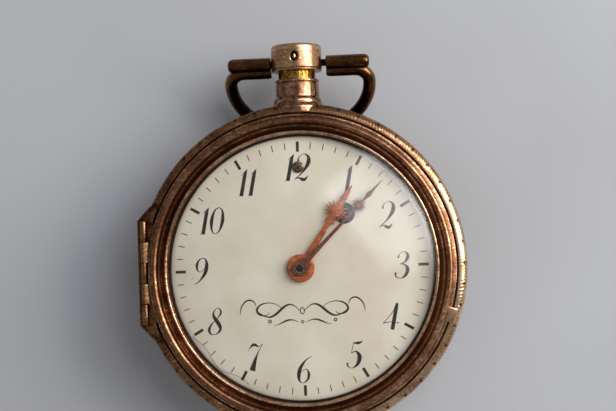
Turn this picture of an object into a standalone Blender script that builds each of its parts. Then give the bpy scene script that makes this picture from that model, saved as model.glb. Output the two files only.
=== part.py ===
"""Open face pocket watch with a verge movement, wound by a key through the dial.

The frame: the origin is on the dial's axis in the flat that the watch rests on, +Z comes out
of the dial, +Y points to the pendant at 12 o'clock and +X to 3 o'clock. Sizes below are in
millimetres, and make_object() turns each mesh and each place into Blender's metres.
"""
import math

import bmesh
import bpy
from mathutils import Matrix, Vector

METRES = 0.001  # one millimetre

# Case
CASE_RADIUS = 27.0
CASE_DEPTH = 12.3  # from the resting flat to the seat that the bezel closes on
CASE_WALL = 0.8
BOWL_HEIGHT = CASE_DEPTH - 2.9
BACK_FLAT_RADIUS = 7.0
SEAT_THICKNESS = 0.8
HINGE_RADIUS = 0.6
EDGE_WIDTH = 2 * HINGE_RADIUS + 0.2  # the engraved edge around the bezel, as wide as its hinge
EDGE_RISE = 1.2
# Bezel and crystal
BEZEL_GROOVE = 0.3  # the dark line between the bezel and the engraved edge
SIGHT_RADIUS = CASE_RADIUS - 5.0
BEZEL_HEIGHT = 2.55
CRYSTAL_THICKNESS = 0.5
CRYSTAL_RISE = 4.6
CRYSTAL_DEPTH = 0.4  # how deep its edge sits in the bezel's groove
LIP_ANGLE = 109.0  # clockwise from 12 o'clock
LIP_WIDTH = 2.4
# Bezel hinge at 9 o'clock
HINGE_FLAT_HALF = 8.6
HINGE_HALF = 11.1
HINGE_PIN_RADIUS = 0.25
HINGE_LIP = 0.35
# Pendant, on 12 o'clock
PENDANT_HEIGHT = CASE_DEPTH - 2.7  # the pendant's axis above the resting flat
STEM_RADIUS = 3.1
NECK_RADIUS = STEM_RADIUS + 0.5
COLLAR_RADIUS = NECK_RADIUS + 0.55
ROD_RADIUS = 1.2
CAP_RADIUS = STEM_RADIUS + 1.1
CAP_LENGTH = 4.5
PUSH_TRAVEL = 1.2
STEM_SHOWN = 1.4
# Bow
BOW_TUBE_RADIUS = 1.175
BOW_WIRE_RADIUS = 1.15
BOW_HALF_WIDTH = CAP_RADIUS + 7.45  # to the middle of the wire
BOW_LENGTH = 13.75  # from the pivot to the middle of the wire
BOW_PIN_RADIUS = 0.6
BOW_SHIFT = 0.3  # the bow has slid towards 3 o'clock on its pin
# Dial and hands
DIAL_RADIUS = SIGHT_RADIUS - 0.4
DIAL_THICKNESS = 0.65
DIAL_RISE = 1.2
HOUR_HAND_LENGTH = DIAL_RADIUS - 5.7
MINUTE_HAND_LENGTH = DIAL_RADIUS - 2.1
HOUR_ANGLE = 33.7
MINUTE_ANGLE = 44.7
BOSS_RADIUS = 2.3
# Movement frame
PLATE_THICKNESS = 0.9
BACK_PLATE_RADIUS = DIAL_RADIUS - 2.6
BACK_PLATE_THICKNESS = 0.6
PILLAR_HEIGHT = 5.4
PILLAR_RADIUS = 0.8
PILLAR_ANGLES = (85.0, 160.0, 225.0, 350.0)
# Train: each module is a pitch diameter for one tooth
GREAT_MODULE, GREAT_TEETH, CENTRE_LEAVES = 0.38, 48, 12
CENTRE_MODULE, CENTRE_TEETH, THIRD_LEAVES = 0.25, 54, 6
THIRD_MODULE, THIRD_TEETH, CONTRATE_LEAVES = 0.20, 48, 6
CONTRATE_TEETH, CROWN_LEAVES, CROWN_TEETH = 48, 6, 13
MOTION_MODULE, CANNON_LEAVES, MINUTE_TEETH, MINUTE_LEAVES, HOUR_TEETH = 0.20, 10, 30, 8, 32
FUSEE_ANGLE = 40.0
THIRD_ANGLE = 148.6
CROWN_AXIS_Y = -7.6
VERGE_X = -5.2
CROWN_RADIUS = 2.1
CONTRATE_RADIUS = 3.9
BALANCE_RADIUS = 6.0
BARREL_RADIUS = 7.2
BARREL_ANGLE = 298.0
BARREL_DISTANCE = 11.6
FUSEE_LARGE, FUSEE_SMALL, FUSEE_HEIGHT, FUSEE_TURNS = 6.9, 3.9, 3.2, 6
# Fits
SEAT_GAP = 0.05  # between pieces that touch
RUN_GAP = 0.06  # all around a pivot or a pin that turns
PIVOT_RADIUS = 0.2
BIG_ROUND = 36  # sides of the large turned pieces
SMALL_ROUND = 16
PIVOT_ROUND = 8

# Heights that follow from the sizes above
PLATE_TOP = CASE_DEPTH - 0.3
PLATE_LOW = PLATE_TOP - PLATE_THICKNESS
BACK_PLATE_TOP = PLATE_LOW - PILLAR_HEIGHT
BACK_PLATE_LOW = BACK_PLATE_TOP - BACK_PLATE_THICKNESS
BALANCE_LOW = BACK_PLATE_LOW - 1.45
COCK_LOW = BALANCE_LOW - 0.95
DIAL_LOW = CASE_DEPTH + 0.15  # the dial's underside at its edge
DIAL_CENTRE = DIAL_LOW + DIAL_RISE + DIAL_THICKNESS
HOUR_HAND_LOW = DIAL_CENTRE + 0.55
MINUTE_HAND_LOW = HOUR_HAND_LOW + 0.9
HAND_THICKNESS = 0.25
HOUR_HAND_DROP, MINUTE_HAND_DROP = 0.7, 1.6  # how far each tip bends towards the dial
BEZEL_RADIUS = CASE_RADIUS - EDGE_WIDTH - BEZEL_GROOVE
EDGE_INNER = CASE_RADIUS - EDGE_WIDTH
HINGE_X = -(BEZEL_RADIUS + HINGE_RADIUS + 0.1)
HINGE_Z = CASE_DEPTH + HINGE_RADIUS + SEAT_GAP
PIVOT_HOLE = PIVOT_RADIUS + RUN_GAP
NECK_START = EDGE_INNER - 0.1
NECK_TOP = CASE_RADIUS + 4.2
CAP_START = NECK_TOP + STEM_SHOWN
BOW_PIVOT_Y = CAP_START + 1.4
BOW_FOLD = math.asin((PENDANT_HEIGHT - BOW_WIRE_RADIUS - 0.02) / BOW_LENGTH)
MOVEMENT_HINGE_Y = DIAL_RADIUS + 1.15
MOVEMENT_HINGE_Z = CASE_DEPTH - 0.65
MOVEMENT_KNUCKLE = 0.55


def around(angle, radius):
    """A place on the dial: its angle clockwise from 12 o'clock and its distance from the axis."""
    turn = math.radians(angle)
    return radius * math.sin(turn), radius * math.cos(turn)


def pitch(module, wheel, pinion):
    """Distance between the axes of a wheel and its pinion."""
    return module * (wheel + pinion) / 2


FUSEE = around(FUSEE_ANGLE, pitch(GREAT_MODULE, GREAT_TEETH, CENTRE_LEAVES))
BARREL = around(BARREL_ANGLE, BARREL_DISTANCE)
THIRD = around(THIRD_ANGLE, pitch(CENTRE_MODULE, CENTRE_TEETH, THIRD_LEAVES))
THIRD_REACH = pitch(THIRD_MODULE, THIRD_TEETH, CONTRATE_LEAVES)
CONTRATE = (THIRD[0] + math.sqrt(THIRD_REACH**2 - (CROWN_AXIS_Y - THIRD[1]) ** 2), CROWN_AXIS_Y)
VERGE = (VERGE_X, CROWN_AXIS_Y)
MINUTE_POST = (0.0, -pitch(MOTION_MODULE, CANNON_LEAVES, MINUTE_TEETH))
REGULATOR = (VERGE_X + 9.4, -4.6)
DIAL_SCREW = (0.0, DIAL_RADIUS - 5.1)
LATCH_SCREW_AT = SIGHT_RADIUS - 3.5  # how far the latch's screw is from the dial's axis

# Heights of the train
CENTRE_WHEEL_LOW = PLATE_LOW - 0.7
GREAT_LOW = PLATE_LOW - 1.6
THIRD_WHEEL_LOW = BACK_PLATE_TOP + 0.3
CONTRATE_LOW = BACK_PLATE_TOP + 1.3
CROWN_AXIS_Z = BACK_PLATE_TOP + 2.7
BARREL_LOW = BACK_PLATE_TOP + 0.4
BARREL_TOP = GREAT_LOW + 0.6
CHAIN_LOW = GREAT_LOW - 0.9

# Pieces that stay with the case when the movement swings up on its hinge
CASE_PIECES = (
    "case_back", "case_band", "pendant_neck", "bezel_hinge_pin", "movement_hinge_lug",
    "movement_hinge_pin", "catch_spring", "catch_spring_screw", "bow",
)

# Finishes: colour, roughness and how metallic
FINISHES = {
    "rose_gold": ((0.42, 0.22, 0.11), 0.35, 1.0),
    "pale_gold": ((0.58, 0.42, 0.24), 0.30, 1.0),
    "brass": ((0.62, 0.42, 0.14), 0.28, 1.0),
    "gilt": ((0.72, 0.52, 0.22), 0.40, 1.0),
    "dark_bronze": ((0.22, 0.12, 0.06), 0.35, 1.0),
    "steel": ((0.45, 0.45, 0.47), 0.30, 1.0),
    "blued_steel": ((0.07, 0.09, 0.20), 0.30, 1.0),
    "rusty_steel": ((0.38, 0.15, 0.04), 0.70, 0.5),
    "enamel": ((0.85, 0.83, 0.78), 0.15, 0.0),
    "glass": ((0.80, 0.85, 0.85), 0.03, 0.0),
}


def clear_scene():
    """Remove whatever the scene holds."""
    for item in list(bpy.data.objects):
        bpy.data.objects.remove(item, do_unlink=True)


def finish_material(finish):
    """The Principled material of a finish, made once."""
    found = bpy.data.materials.get(finish)
    if found:
        return found
    colour, roughness, metallic = FINISHES[finish]
    made = bpy.data.materials.new(finish)
    made.use_nodes = True
    shader = made.node_tree.nodes["Principled BSDF"]
    shader.inputs["Base Color"].default_value = (*colour, 1.0)
    shader.inputs["Roughness"].default_value = roughness
    shader.inputs["Metallic"].default_value = metallic
    if finish == "glass":
        shader.inputs["Transmission Weight"].default_value = 1.0
    made.diffuse_color = (*colour, 1.0)
    return made


def make_object(name, shape, finish, at=(0.0, 0.0, 0.0), turn=(0.0, 0.0, 0.0)):
    """Turn a bmesh in millimetres into a named object in metres, with its finish."""
    bmesh.ops.remove_doubles(shape, verts=shape.verts, dist=0.0005)
    bmesh.ops.recalc_face_normals(shape, faces=shape.faces)
    bmesh.ops.scale(shape, vec=(METRES,) * 3, verts=shape.verts)
    mesh = bpy.data.meshes.new(name)
    shape.to_mesh(mesh)
    shape.free()
    mesh.shade_smooth()
    mesh.set_sharp_from_angle(angle=math.radians(35))
    mesh.materials.append(finish_material(finish))
    made = bpy.data.objects.new(name, mesh)
    bpy.context.scene.collection.objects.link(made)
    made.location = Vector(at) * METRES
    made.rotation_euler = turn
    return made


# How turned pieces lie along another axis than Z
ALONG_X = (0.0, math.pi / 2, 0.0)
ALONG_Y = (-math.pi / 2, 0.0, 0.0)


def circle(radius, count=SMALL_ROUND, centre=(0.0, 0.0)):
    """Points around a circle."""
    turns = [math.tau * k / count for k in range(count)]
    return [(centre[0] + radius * math.cos(t), centre[1] + radius * math.sin(t)) for t in turns]


def square(side, count):
    """Points around a square, as many as its neighbour section has, one on each corner."""
    points = []
    for x, y in circle(1.0, count):
        x, y = (x - y) / math.sqrt(2), (x + y) / math.sqrt(2)
        points.append((x, y))
    return [(p[0] * side / 2 / max(map(abs, p)), p[1] * side / 2 / max(map(abs, p))) for p in points]


def arc(centre, radius, start, end, count):
    """Points from one angle to another, in degrees anticlockwise from +X, ends included."""
    turns = [math.radians(start + (end - start) * k / (count - 1)) for k in range(count)]
    return [(centre[0] + radius * math.cos(t), centre[1] + radius * math.sin(t)) for t in turns]


def leaves_outline(leaves, module, tip=0.55, root=1.1, foot=0.34, crest=0.14, facing=0.0):
    """A pinion's outline, with a leaf at the angle it faces, in degrees anticlockwise from +X.

    Tip and root are shares of the module, foot and crest shares of half a pitch.
    """
    middle = module * leaves / 2
    points = []
    for k in range(leaves):
        at = math.tau * k / leaves + math.radians(facing)
        for share, radius in (
            (-foot, middle - root * module),
            (-crest, middle + tip * module),
            (crest, middle + tip * module),
            (foot, middle - root * module),
        ):
            turn = at + share * math.pi / leaves
            points.append((radius * math.cos(turn), radius * math.sin(turn)))
    return points


def teeth_outline(teeth, module, tip=0.8, root=1.15, facing=0.0):
    """A wheel's outline: pointed teeth, with a space at the angle it faces, in degrees."""
    middle = module * teeth / 2
    points = []
    for k in range(2 * teeth):
        turn = math.pi * k / teeth + math.radians(facing)
        radius = middle + tip * module if k % 2 else middle - root * module
        points.append((radius * math.cos(turn), radius * math.sin(turn)))
    return points


def windows(hub, rim, arms, arm_width, count=6):
    """The openings between the arms of a wheel, from its hub to its rim."""
    loops = []
    for k in range(arms):
        low, high = 360 * k / arms, 360 * (k + 1) / arms
        out = math.degrees(math.asin(arm_width / 2 / rim))
        into = math.degrees(math.asin(arm_width / 2 / hub))
        outer = arc((0, 0), rim, low + out, high - out, count)
        inner = arc((0, 0), hub, high - into, low + into, max(3, count // 2))
        loops.append(outer + inner)
    return loops


def turned(name, profile, finish, at=(0.0, 0.0, 0.0), turn=(0.0, 0.0, 0.0), count=SMALL_ROUND):
    """Turn a closed profile of (radius, height) points about its axis."""
    shape = bmesh.new()
    points = [shape.verts.new((radius, 0.0, height)) for radius, height in profile]
    edges = [shape.edges.new(pair) for pair in zip(points, points[1:] + points[:1], strict=True)]
    bmesh.ops.spin(
        shape, geom=points + edges, cent=(0, 0, 0), axis=(0, 0, 1), angle=math.tau, steps=count,
        use_merge=True,
    )
    bmesh.ops.remove_doubles(shape, verts=shape.verts, dist=0.0005)
    on_axis = [e for e in shape.edges if all(v.co.xy.length < 0.0005 for v in e.verts)]
    bmesh.ops.delete(shape, geom=on_axis, context="EDGES")
    return make_object(name, shape, finish, at, turn)


def rod(name, radius, low, high, finish, at=(0.0, 0.0, 0.0), turn=(0.0, 0.0, 0.0), count=PIVOT_ROUND):
    """A plain round bar along its axis."""
    profile = [(0.0, low), (radius, low), (radius, high), (0.0, high)]
    return turned(name, profile, finish, at, turn, count)


def flat(name, loops, low, high, finish, at=(0.0, 0.0, 0.0), turn=(0.0, 0.0, 0.0)):
    """A plate of one thickness: an outline, and holes inside it."""
    shape = bmesh.new()
    edges = []
    for loop in loops:
        points = [shape.verts.new((x, y, low)) for x, y in loop]
        edges += [shape.edges.new(pair) for pair in zip(points, points[1:] + points[:1], strict=True)]
    bmesh.ops.triangle_fill(shape, use_beauty=True, use_dissolve=False, edges=edges)
    raised = bmesh.ops.extrude_face_region(shape, geom=shape.faces[:])["geom"]
    top = [v for v in raised if isinstance(v, bmesh.types.BMVert)]
    bmesh.ops.translate(shape, verts=top, vec=(0, 0, high - low))
    return make_object(name, shape, finish, at, turn)


def stacked(name, sections, finish, at=(0.0, 0.0, 0.0), turn=(0.0, 0.0, 0.0)):
    """A piece that changes section along its axis: (height, loop) with equal counts."""
    shape = bmesh.new()
    rings = [[shape.verts.new((x, y, height)) for x, y in loop] for height, loop in sections]
    shape.faces.new(list(reversed(rings[0])))
    for low, high in zip(rings, rings[1:]):
        for k in range(len(low)):
            after = (k + 1) % len(low)
            shape.faces.new((low[k], low[after], high[after], high[k]))
    shape.faces.new(rings[-1])
    return make_object(name, shape, finish, at, turn)


def block(name, low, high, finish):
    """A box between two corners."""
    shape = bmesh.new()
    bmesh.ops.create_cube(shape, size=1.0)
    size = [b - a for a, b in zip(low, high)]
    middle = [(a + b) / 2 for a, b in zip(low, high)]
    bmesh.ops.scale(shape, vec=size, verts=shape.verts)
    return make_object(name, shape, finish, middle)


def combine(target, tool, how):
    """Join a guide to a piece, or cut it out of the piece, and hide the guide."""
    change = target.modifiers.new(tool.name, "BOOLEAN")
    change.operation = how
    change.solver = "EXACT"
    change.object = tool
    tool.hide_render = True
    tool.display_type = "WIRE"


def cut(target, tool):
    """Take a guide's volume out of a piece."""
    combine(target, tool, "DIFFERENCE")


def join(target, tool):
    """Add a guide's volume to a piece."""
    combine(target, tool, "UNION")


def axis_empty(name, at, children):
    """An empty on a joint's axis that carries the pieces that move on it."""
    empty = bpy.data.objects.new(name, None)
    empty.empty_display_size = 2 * METRES
    empty.location = Vector(at) * METRES
    bpy.context.scene.collection.objects.link(empty)
    for child in children:
        child.parent = empty
        child.matrix_parent_inverse = Matrix.Translation(-empty.location)
    return empty


def bowl_curve(flat_radius, radius, low, high, count):
    """The back's quarter ellipse, from its flat to its rim."""
    points = []
    for k in range(count):
        turn = math.pi / 2 * k / (count - 1)
        reach = flat_radius + (radius - flat_radius) * math.sin(turn)
        points.append((reach, high - (high - low) * math.cos(turn)))
    return points


def pendant_tool(name, radius, start, end, count=SMALL_ROUND):
    """A round guide along the pendant's axis."""
    return rod(name, radius, start, end, "steel", (0, 0, PENDANT_HEIGHT), ALONG_Y, count)


def make_case():
    """The back, and the band with its seat, engraved edge and hinge box."""
    inside = CASE_RADIUS - CASE_WALL
    outer = bowl_curve(BACK_FLAT_RADIUS, CASE_RADIUS, 0.0, BOWL_HEIGHT, 8)
    inner = bowl_curve(BACK_FLAT_RADIUS - 0.2, inside, CASE_WALL, BOWL_HEIGHT, 6)
    bowl = [(0, 0), *outer, *reversed(inner), (0, CASE_WALL)]
    back = turned("case_back", bowl, "rose_gold", count=BIG_ROUND)

    edge = [
        (EDGE_INNER + EDGE_WIDTH * x, CASE_DEPTH + EDGE_RISE * y) for x, y in arc((0, 0), 1, 0, 90, 4)
    ]
    low = BOWL_HEIGHT + SEAT_GAP
    under = CASE_DEPTH - SEAT_THICKNESS
    profile = [
        (inside, low), (CASE_RADIUS, low), *edge, (EDGE_INNER, CASE_DEPTH),
        (SIGHT_RADIUS, CASE_DEPTH), (SIGHT_RADIUS, under), (inside - 0.2, under), (inside, under - 0.3),
    ]
    band = turned("case_band", profile, "rose_gold", count=BIG_ROUND)
    hinge_box(band)

    collar = pendant_tool("collar_room", COLLAR_RADIUS + SEAT_GAP, NECK_START - SEAT_GAP, CASE_RADIUS + 3, 24)
    cut(back, collar)
    cut(band, collar)
    recess = block(
        "movement_hinge_room",
        (-3.2, SIGHT_RADIUS - 1.0, CASE_DEPTH - 2.0),
        (3.2, MOVEMENT_HINGE_Y + 1.75, CASE_DEPTH + 0.5),
        "steel",
    )
    cut(band, recess)
    return back, band


def circle_x(radius, y):
    """Where a circle about the dial's axis passes a height y, on the side of 9 o'clock."""
    return -math.sqrt(radius**2 - y**2)


def hinge_box(band):
    """The straight-sided box at 9 o'clock, with a well for the knuckles and three of them."""
    relief = 0.04
    tip = circle_x(CASE_RADIUS, HINGE_HALF)
    into = circle_x(EDGE_INNER, HINGE_HALF)
    past = circle_x(SIGHT_RADIUS, 0)
    top = CASE_DEPTH + EDGE_RISE + 1
    trough = block(
        "hinge_trough",
        (-CASE_RADIUS - 1, -HINGE_HALF - 0.4, CASE_DEPTH - relief),
        (past + 1.5, HINGE_HALF + 0.4, top),
        "steel",
    )
    cut(band, trough)
    outline = [
        (-CASE_RADIUS, -HINGE_FLAT_HALF), (tip, -HINGE_HALF), (into, -HINGE_HALF),
        (into, HINGE_HALF), (tip, HINGE_HALF), (-CASE_RADIUS, HINGE_FLAT_HALF),
    ]
    join(band, flat("hinge_base", [outline], BOWL_HEIGHT + 0.8, HINGE_Z + 0.45, "rose_gold"))
    bezel_room = rod(
        "bezel_room", EDGE_INNER, CASE_DEPTH - 2 * relief, top, "steel", count=BIG_ROUND
    )
    cut(band, bezel_room)
    well = block(
        "hinge_well",
        (-CASE_RADIUS + HINGE_LIP, -HINGE_FLAT_HALF, CASE_DEPTH - 3 * relief),
        (past + 1, HINGE_FLAT_HALF, top),
        "steel",
    )
    cut(band, well)
    lip_room = block(
        "hinge_lip_room",
        (-CASE_RADIUS - 1, -HINGE_FLAT_HALF + 0.1, HINGE_Z),
        (-CASE_RADIUS + HINGE_LIP + 0.1, HINGE_FLAT_HALF - 0.1, top),
        "steel",
    )
    cut(band, lip_room)
    for k, (low, high) in enumerate(knuckle_spans("case")):
        knuckle = rod(
            f"case_knuckle_{k}", HINGE_RADIUS, low, high, "rose_gold", (HINGE_X, 0, HINGE_Z), ALONG_Y, 12
        )
        web = block(
            f"case_knuckle_web_{k}",
            (HINGE_X - 0.35, low + 0.1, CASE_DEPTH - 0.4),
            (HINGE_X + 0.35, high - 0.1, HINGE_Z - 0.1),
            "rose_gold",
        )
        join(band, knuckle)
        join(band, web)
    cut(band, hinge_bore("case_hinge_bore"))


def knuckle_spans(owner):
    """Lengths along the hinge: the case's three knuckles, or the bezel's two between them."""
    reach = HINGE_FLAT_HALF - 0.05
    fifth = 2 * reach / 5
    starts = (0, 2, 4) if owner == "case" else (1, 3)
    gap = SEAT_GAP if owner == "bezel" else 0.0
    return [(-reach + k * fifth + gap, -reach + (k + 1) * fifth - gap) for k in starts]


def hinge_bore(name):
    """The bore that the bezel's hinge pin runs in."""
    reach = HINGE_FLAT_HALF + 0.2
    return rod(name, HINGE_PIN_RADIUS + RUN_GAP, -reach, reach, "steel", (HINGE_X, 0, HINGE_Z), ALONG_Y)


def make_bezel():
    """The bezel with its mouldings, lifting lip and knuckles, and the crystal in its groove."""
    low = CASE_DEPTH + SEAT_GAP
    shoulder = low + BEZEL_HEIGHT - 1.0
    groove = shoulder - 0.1
    outer, sight = BEZEL_RADIUS, SIGHT_RADIUS
    moulding = [
        (outer - 1.1 + 0.65 * x, shoulder + 1.0 * y) for x, y in arc((0, 0), 1, 0, 180, 5)
    ]
    cove = outer - 1.75
    profile = [
        (sight - 0.05, low), (outer, low), (outer, shoulder - 0.15), (outer - 0.15, shoulder),
        *moulding, (cove - 0.25, shoulder - 0.05), (sight + 0.9, shoulder + 0.15),
        (sight + 0.45, shoulder + 0.7), (sight + 0.2, shoulder + 0.8), (sight, shoulder + 0.6),
        (sight, groove + CRYSTAL_THICKNESS), (sight + CRYSTAL_DEPTH, groove + CRYSTAL_THICKNESS),
        (sight + CRYSTAL_DEPTH, groove), (sight, groove),
    ]
    ring = turned("bezel_ring", profile, "rose_gold", count=BIG_ROUND)
    lift = math.radians(90 - LIP_ANGLE)
    lip_low = CASE_DEPTH + EDGE_RISE + 0.12
    lip = block(
        "lifting_lip",
        (outer - 0.5, -LIP_WIDTH / 2, lip_low - 0.02),
        (outer + 0.95, LIP_WIDTH / 2, lip_low + 0.5),
        "rose_gold",
    )
    lip.location = Matrix.Rotation(lift, 3, "Z") @ lip.location
    lip.rotation_euler = (0, 0, lift)
    join(ring, lip)
    for k, (start, end) in enumerate(knuckle_spans("bezel")):
        knuckle = rod(
            f"bezel_knuckle_{k}", HINGE_RADIUS, start, end, "rose_gold", (HINGE_X, 0, HINGE_Z), ALONG_Y, 12
        )
        web = block(
            f"bezel_knuckle_web_{k}",
            (HINGE_X, start, HINGE_Z - 0.2),
            (circle_x(BEZEL_RADIUS, max(abs(start), abs(end))) + 0.4, end, HINGE_Z + 0.3),
            "rose_gold",
        )
        join(ring, knuckle)
        join(ring, web)
    cut(ring, hinge_bore("bezel_hinge_bore"))

    edge = sight + CRYSTAL_DEPTH - SEAT_GAP
    base = groove + SEAT_GAP
    rise = CRYSTAL_THICKNESS - 2 * SEAT_GAP
    dome = (sight**2 + CRYSTAL_RISE**2) / (2 * CRYSTAL_RISE)
    reach = math.degrees(math.asin((sight - SEAT_GAP) / dome))
    curve = arc((0, 0), dome, 90, 90 - reach, 5)
    drop = curve[-1][1]
    above = [(r, base + rise + z - drop) for r, z in curve]
    below = [(r, base + z - drop) for r, z in reversed(curve)]
    above[0], below[-1] = (0.0, above[0][1]), (0.0, below[-1][1])
    crystal = turned(
        "crystal", [*above, (edge, base + rise), (edge, base), *below], "glass", count=BIG_ROUND
    )
    axis_empty("bezel_axis", (HINGE_X, 0, HINGE_Z), [ring, crystal])
    reach = HINGE_FLAT_HALF
    rod(
        "bezel_hinge_pin", HINGE_PIN_RADIUS, -reach, reach, "brass", (HINGE_X, 0, HINGE_Z), ALONG_Y
    )


def make_pendant(band, back):
    """The neck, the push piece that slides in it, the bow's pin and the catch spring."""
    axis = (0, 0, PENDANT_HEIGHT)
    bore = STEM_RADIUS + RUN_GAP
    rod_bore = ROD_RADIUS + RUN_GAP
    start, top = NECK_START, NECK_TOP
    floor = top - PUSH_TRAVEL - 1.5
    neck = [
        (rod_bore, start), (COLLAR_RADIUS - 0.3, start), (COLLAR_RADIUS, start + 0.5),
        (COLLAR_RADIUS, start + 1.2), (COLLAR_RADIUS - 0.25, start + 1.7),
        (COLLAR_RADIUS - 0.1, start + 1.8),
        (COLLAR_RADIUS - 0.15, start + 2.2), (NECK_RADIUS, start + 2.6), (NECK_RADIUS, top - 0.7),
        (NECK_RADIUS - 0.12, top - 0.6), (NECK_RADIUS - 0.12, top - 0.5), (NECK_RADIUS, top - 0.4),
        (NECK_RADIUS, top - 0.1), (NECK_RADIUS - 0.1, top), (bore, top), (bore, floor), (rod_bore, floor),
    ]
    turned("pendant_neck", neck, "rose_gold", axis, ALONG_Y, 20)

    seat = CAP_START + 0.6
    stem_low = floor + PUSH_TRAVEL + 0.1
    rod_tip = NECK_START - 0.6
    stem = turned(
        "push_stem",
        [(0, rod_tip), (ROD_RADIUS, rod_tip), (ROD_RADIUS, stem_low), (STEM_RADIUS, stem_low),
         (STEM_RADIUS, seat), (0, seat)],
        "brass", axis, ALONG_Y, 24,
    )
    lip = CAP_RADIUS - 0.1
    end = CAP_START + CAP_LENGTH
    cap_profile = [
        (0, seat + SEAT_GAP), (STEM_RADIUS + SEAT_GAP, seat + SEAT_GAP),
        (STEM_RADIUS + SEAT_GAP, CAP_START),
        (lip - 0.2, CAP_START), (lip, CAP_START + 0.15), (lip, CAP_START + 0.4), (lip - 0.2, CAP_START + 0.5),
        (CAP_RADIUS, CAP_START + 0.65), (CAP_RADIUS, end - 1.1), (CAP_RADIUS - 0.15, end - 0.9),
        (CAP_RADIUS * 0.75, end - 0.4), (CAP_RADIUS * 0.4, end - 0.1), (0, end),
    ]
    cap = turned("push_cap", cap_profile, "pale_gold", axis, ALONG_Y, 24)
    pivot = (0, BOW_PIVOT_Y, PENDANT_HEIGHT)
    reach = CAP_RADIUS + 1.6
    cut(cap, rod("bow_pin_hole", BOW_PIN_RADIUS + SEAT_GAP, -reach, reach, "steel", pivot, ALONG_X, 12))
    pin = rod("bow_pin", BOW_PIN_RADIUS, -reach, reach, "brass", pivot, ALONG_X, 12)
    axis_empty("push_axis", axis, [stem, cap, pin])

    hole = pendant_tool("rod_hole", rod_bore, SIGHT_RADIUS + 1.5, CASE_RADIUS, 12)
    cut(band, hole)
    make_catch(rod_tip)


def make_catch(rod_tip):
    """The leaf spring behind the push rod, and the screw that holds its foot."""
    face = rod_tip - PUSH_TRAVEL - 0.1
    middle = face - 0.25
    leaf = [
        *arc((0, 0), face, 98, 50, 9),
        *arc((0, 0), face - 0.4, 50, 98, 9),
    ]
    low, high = PENDANT_HEIGHT - 0.9, PENDANT_HEIGHT + 0.9
    flat("catch_spring", [leaf], low, high, "steel")
    direction = math.radians(54)
    spot = middle * math.cos(direction), middle * math.sin(direction)
    reach = CASE_RADIUS - CASE_WALL - middle - 1.1
    profile = [(0, 0.3), (0.6, 0.3), (0.6, reach), (0, reach)]
    turned(
        "catch_spring_screw", profile, "steel",
        (spot[0], spot[1], PENDANT_HEIGHT), (0, math.pi / 2, direction), 8,
    )


def make_bow():
    """The stirrup bow: two tubes on the pin and a loop of wire beneath them, folded back."""
    gap_side = CAP_RADIUS + 0.1 + BOW_SHIFT
    shape = bmesh.new()
    path = []
    under = 1.5
    corner = 2.35
    side_start = under + corner
    for side in (-1, 1):
        half = []
        half.append((side * gap_side, under))
        for x, y in arc((BOW_HALF_WIDTH - corner, side_start), corner, -90, 0, 4):
            half.append((side * x, y))
        for k in range(1, 7):
            turn = math.pi / 2 * k / 7
            half.append((side * BOW_HALF_WIDTH * math.cos(turn),
                         side_start + (BOW_LENGTH - side_start) * math.sin(turn)))
        path += half if side < 0 else [(0.0, BOW_LENGTH), *reversed(half)]
    rings = []
    for k, (x, v) in enumerate(path):
        before, after = path[max(k - 1, 0)], path[min(k + 1, len(path) - 1)]
        way = Vector((after[0] - before[0], after[1] - before[1])).normalized()
        ring = []
        for a, b in circle(BOW_WIRE_RADIUS, 10):
            ring.append(shape.verts.new((x - way.y * a, -(v + way.x * a), b)))
        rings.append(ring)
    for low, high in zip(rings, rings[1:]):
        for k in range(len(low)):
            after = (k + 1) % len(low)
            shape.faces.new((low[k], low[after], high[after], high[k]))
    shape.faces.new(list(reversed(rings[0])))
    shape.faces.new(rings[-1])
    pivot = (BOW_SHIFT, BOW_PIVOT_Y, PENDANT_HEIGHT)
    bow = make_object("bow", shape, "dark_bronze", pivot, (BOW_FOLD, 0, 0))
    inner, outer = gap_side, BOW_HALF_WIDTH + 0.15
    for side, name in ((-1, "left"), (1, "right")):
        profile = [
            (0, inner), (BOW_TUBE_RADIUS, inner), (BOW_TUBE_RADIUS, outer - 0.5),
            (BOW_TUBE_RADIUS - 0.35, outer), (0, outer),
        ]
        lie = (0, side * math.pi / 2, 0)
        join(bow, turned(f"bow_tube_{name}", profile, "dark_bronze", pivot, lie, 12))
    reach = CAP_RADIUS + 1.6 + 0.4
    bore = rod(
        "bow_bore", BOW_PIN_RADIUS + RUN_GAP, -reach, reach, "steel",
        (0, BOW_PIVOT_Y, PENDANT_HEIGHT), ALONG_X, 12,
    )
    cut(bow, bore)


def make_dial():
    """The domed enamel dial with its three holes, and the screw at 12 o'clock."""
    count = 5
    radii = [DIAL_RADIUS * k / (count - 1) for k in range(count)]
    under = [(r, DIAL_LOW + DIAL_RISE * (1 - (r / DIAL_RADIUS) ** 2)) for r in radii]
    over = [(r, z + DIAL_THICKNESS) for r, z in reversed(under)]
    dial = turned("dial", [*under, *over], "enamel", count=BIG_ROUND)
    holes = (("centre_hole", (0, 0), 1.85), ("winding_hole", FUSEE, 1.75), ("screw_hole", DIAL_SCREW, 0.55))
    for name, spot, radius in holes:
        cut(dial, rod(name, radius, PLATE_TOP, DIAL_CENTRE + 1, "steel", (*spot, 0), count=SMALL_ROUND))
    at = DIAL_LOW + DIAL_RISE * (1 - (DIAL_SCREW[1] / DIAL_RADIUS) ** 2) + DIAL_THICKNESS + 0.12
    foot = PLATE_LOW + 0.2
    profile = [(0, foot), (0.45, foot), (0.45, at), (0.95, at), (0.95, at + 0.3), (0, at + 0.35)]
    turned("dial_screw", profile, "rusty_steel", (*DIAL_SCREW, 0), count=12)


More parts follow.
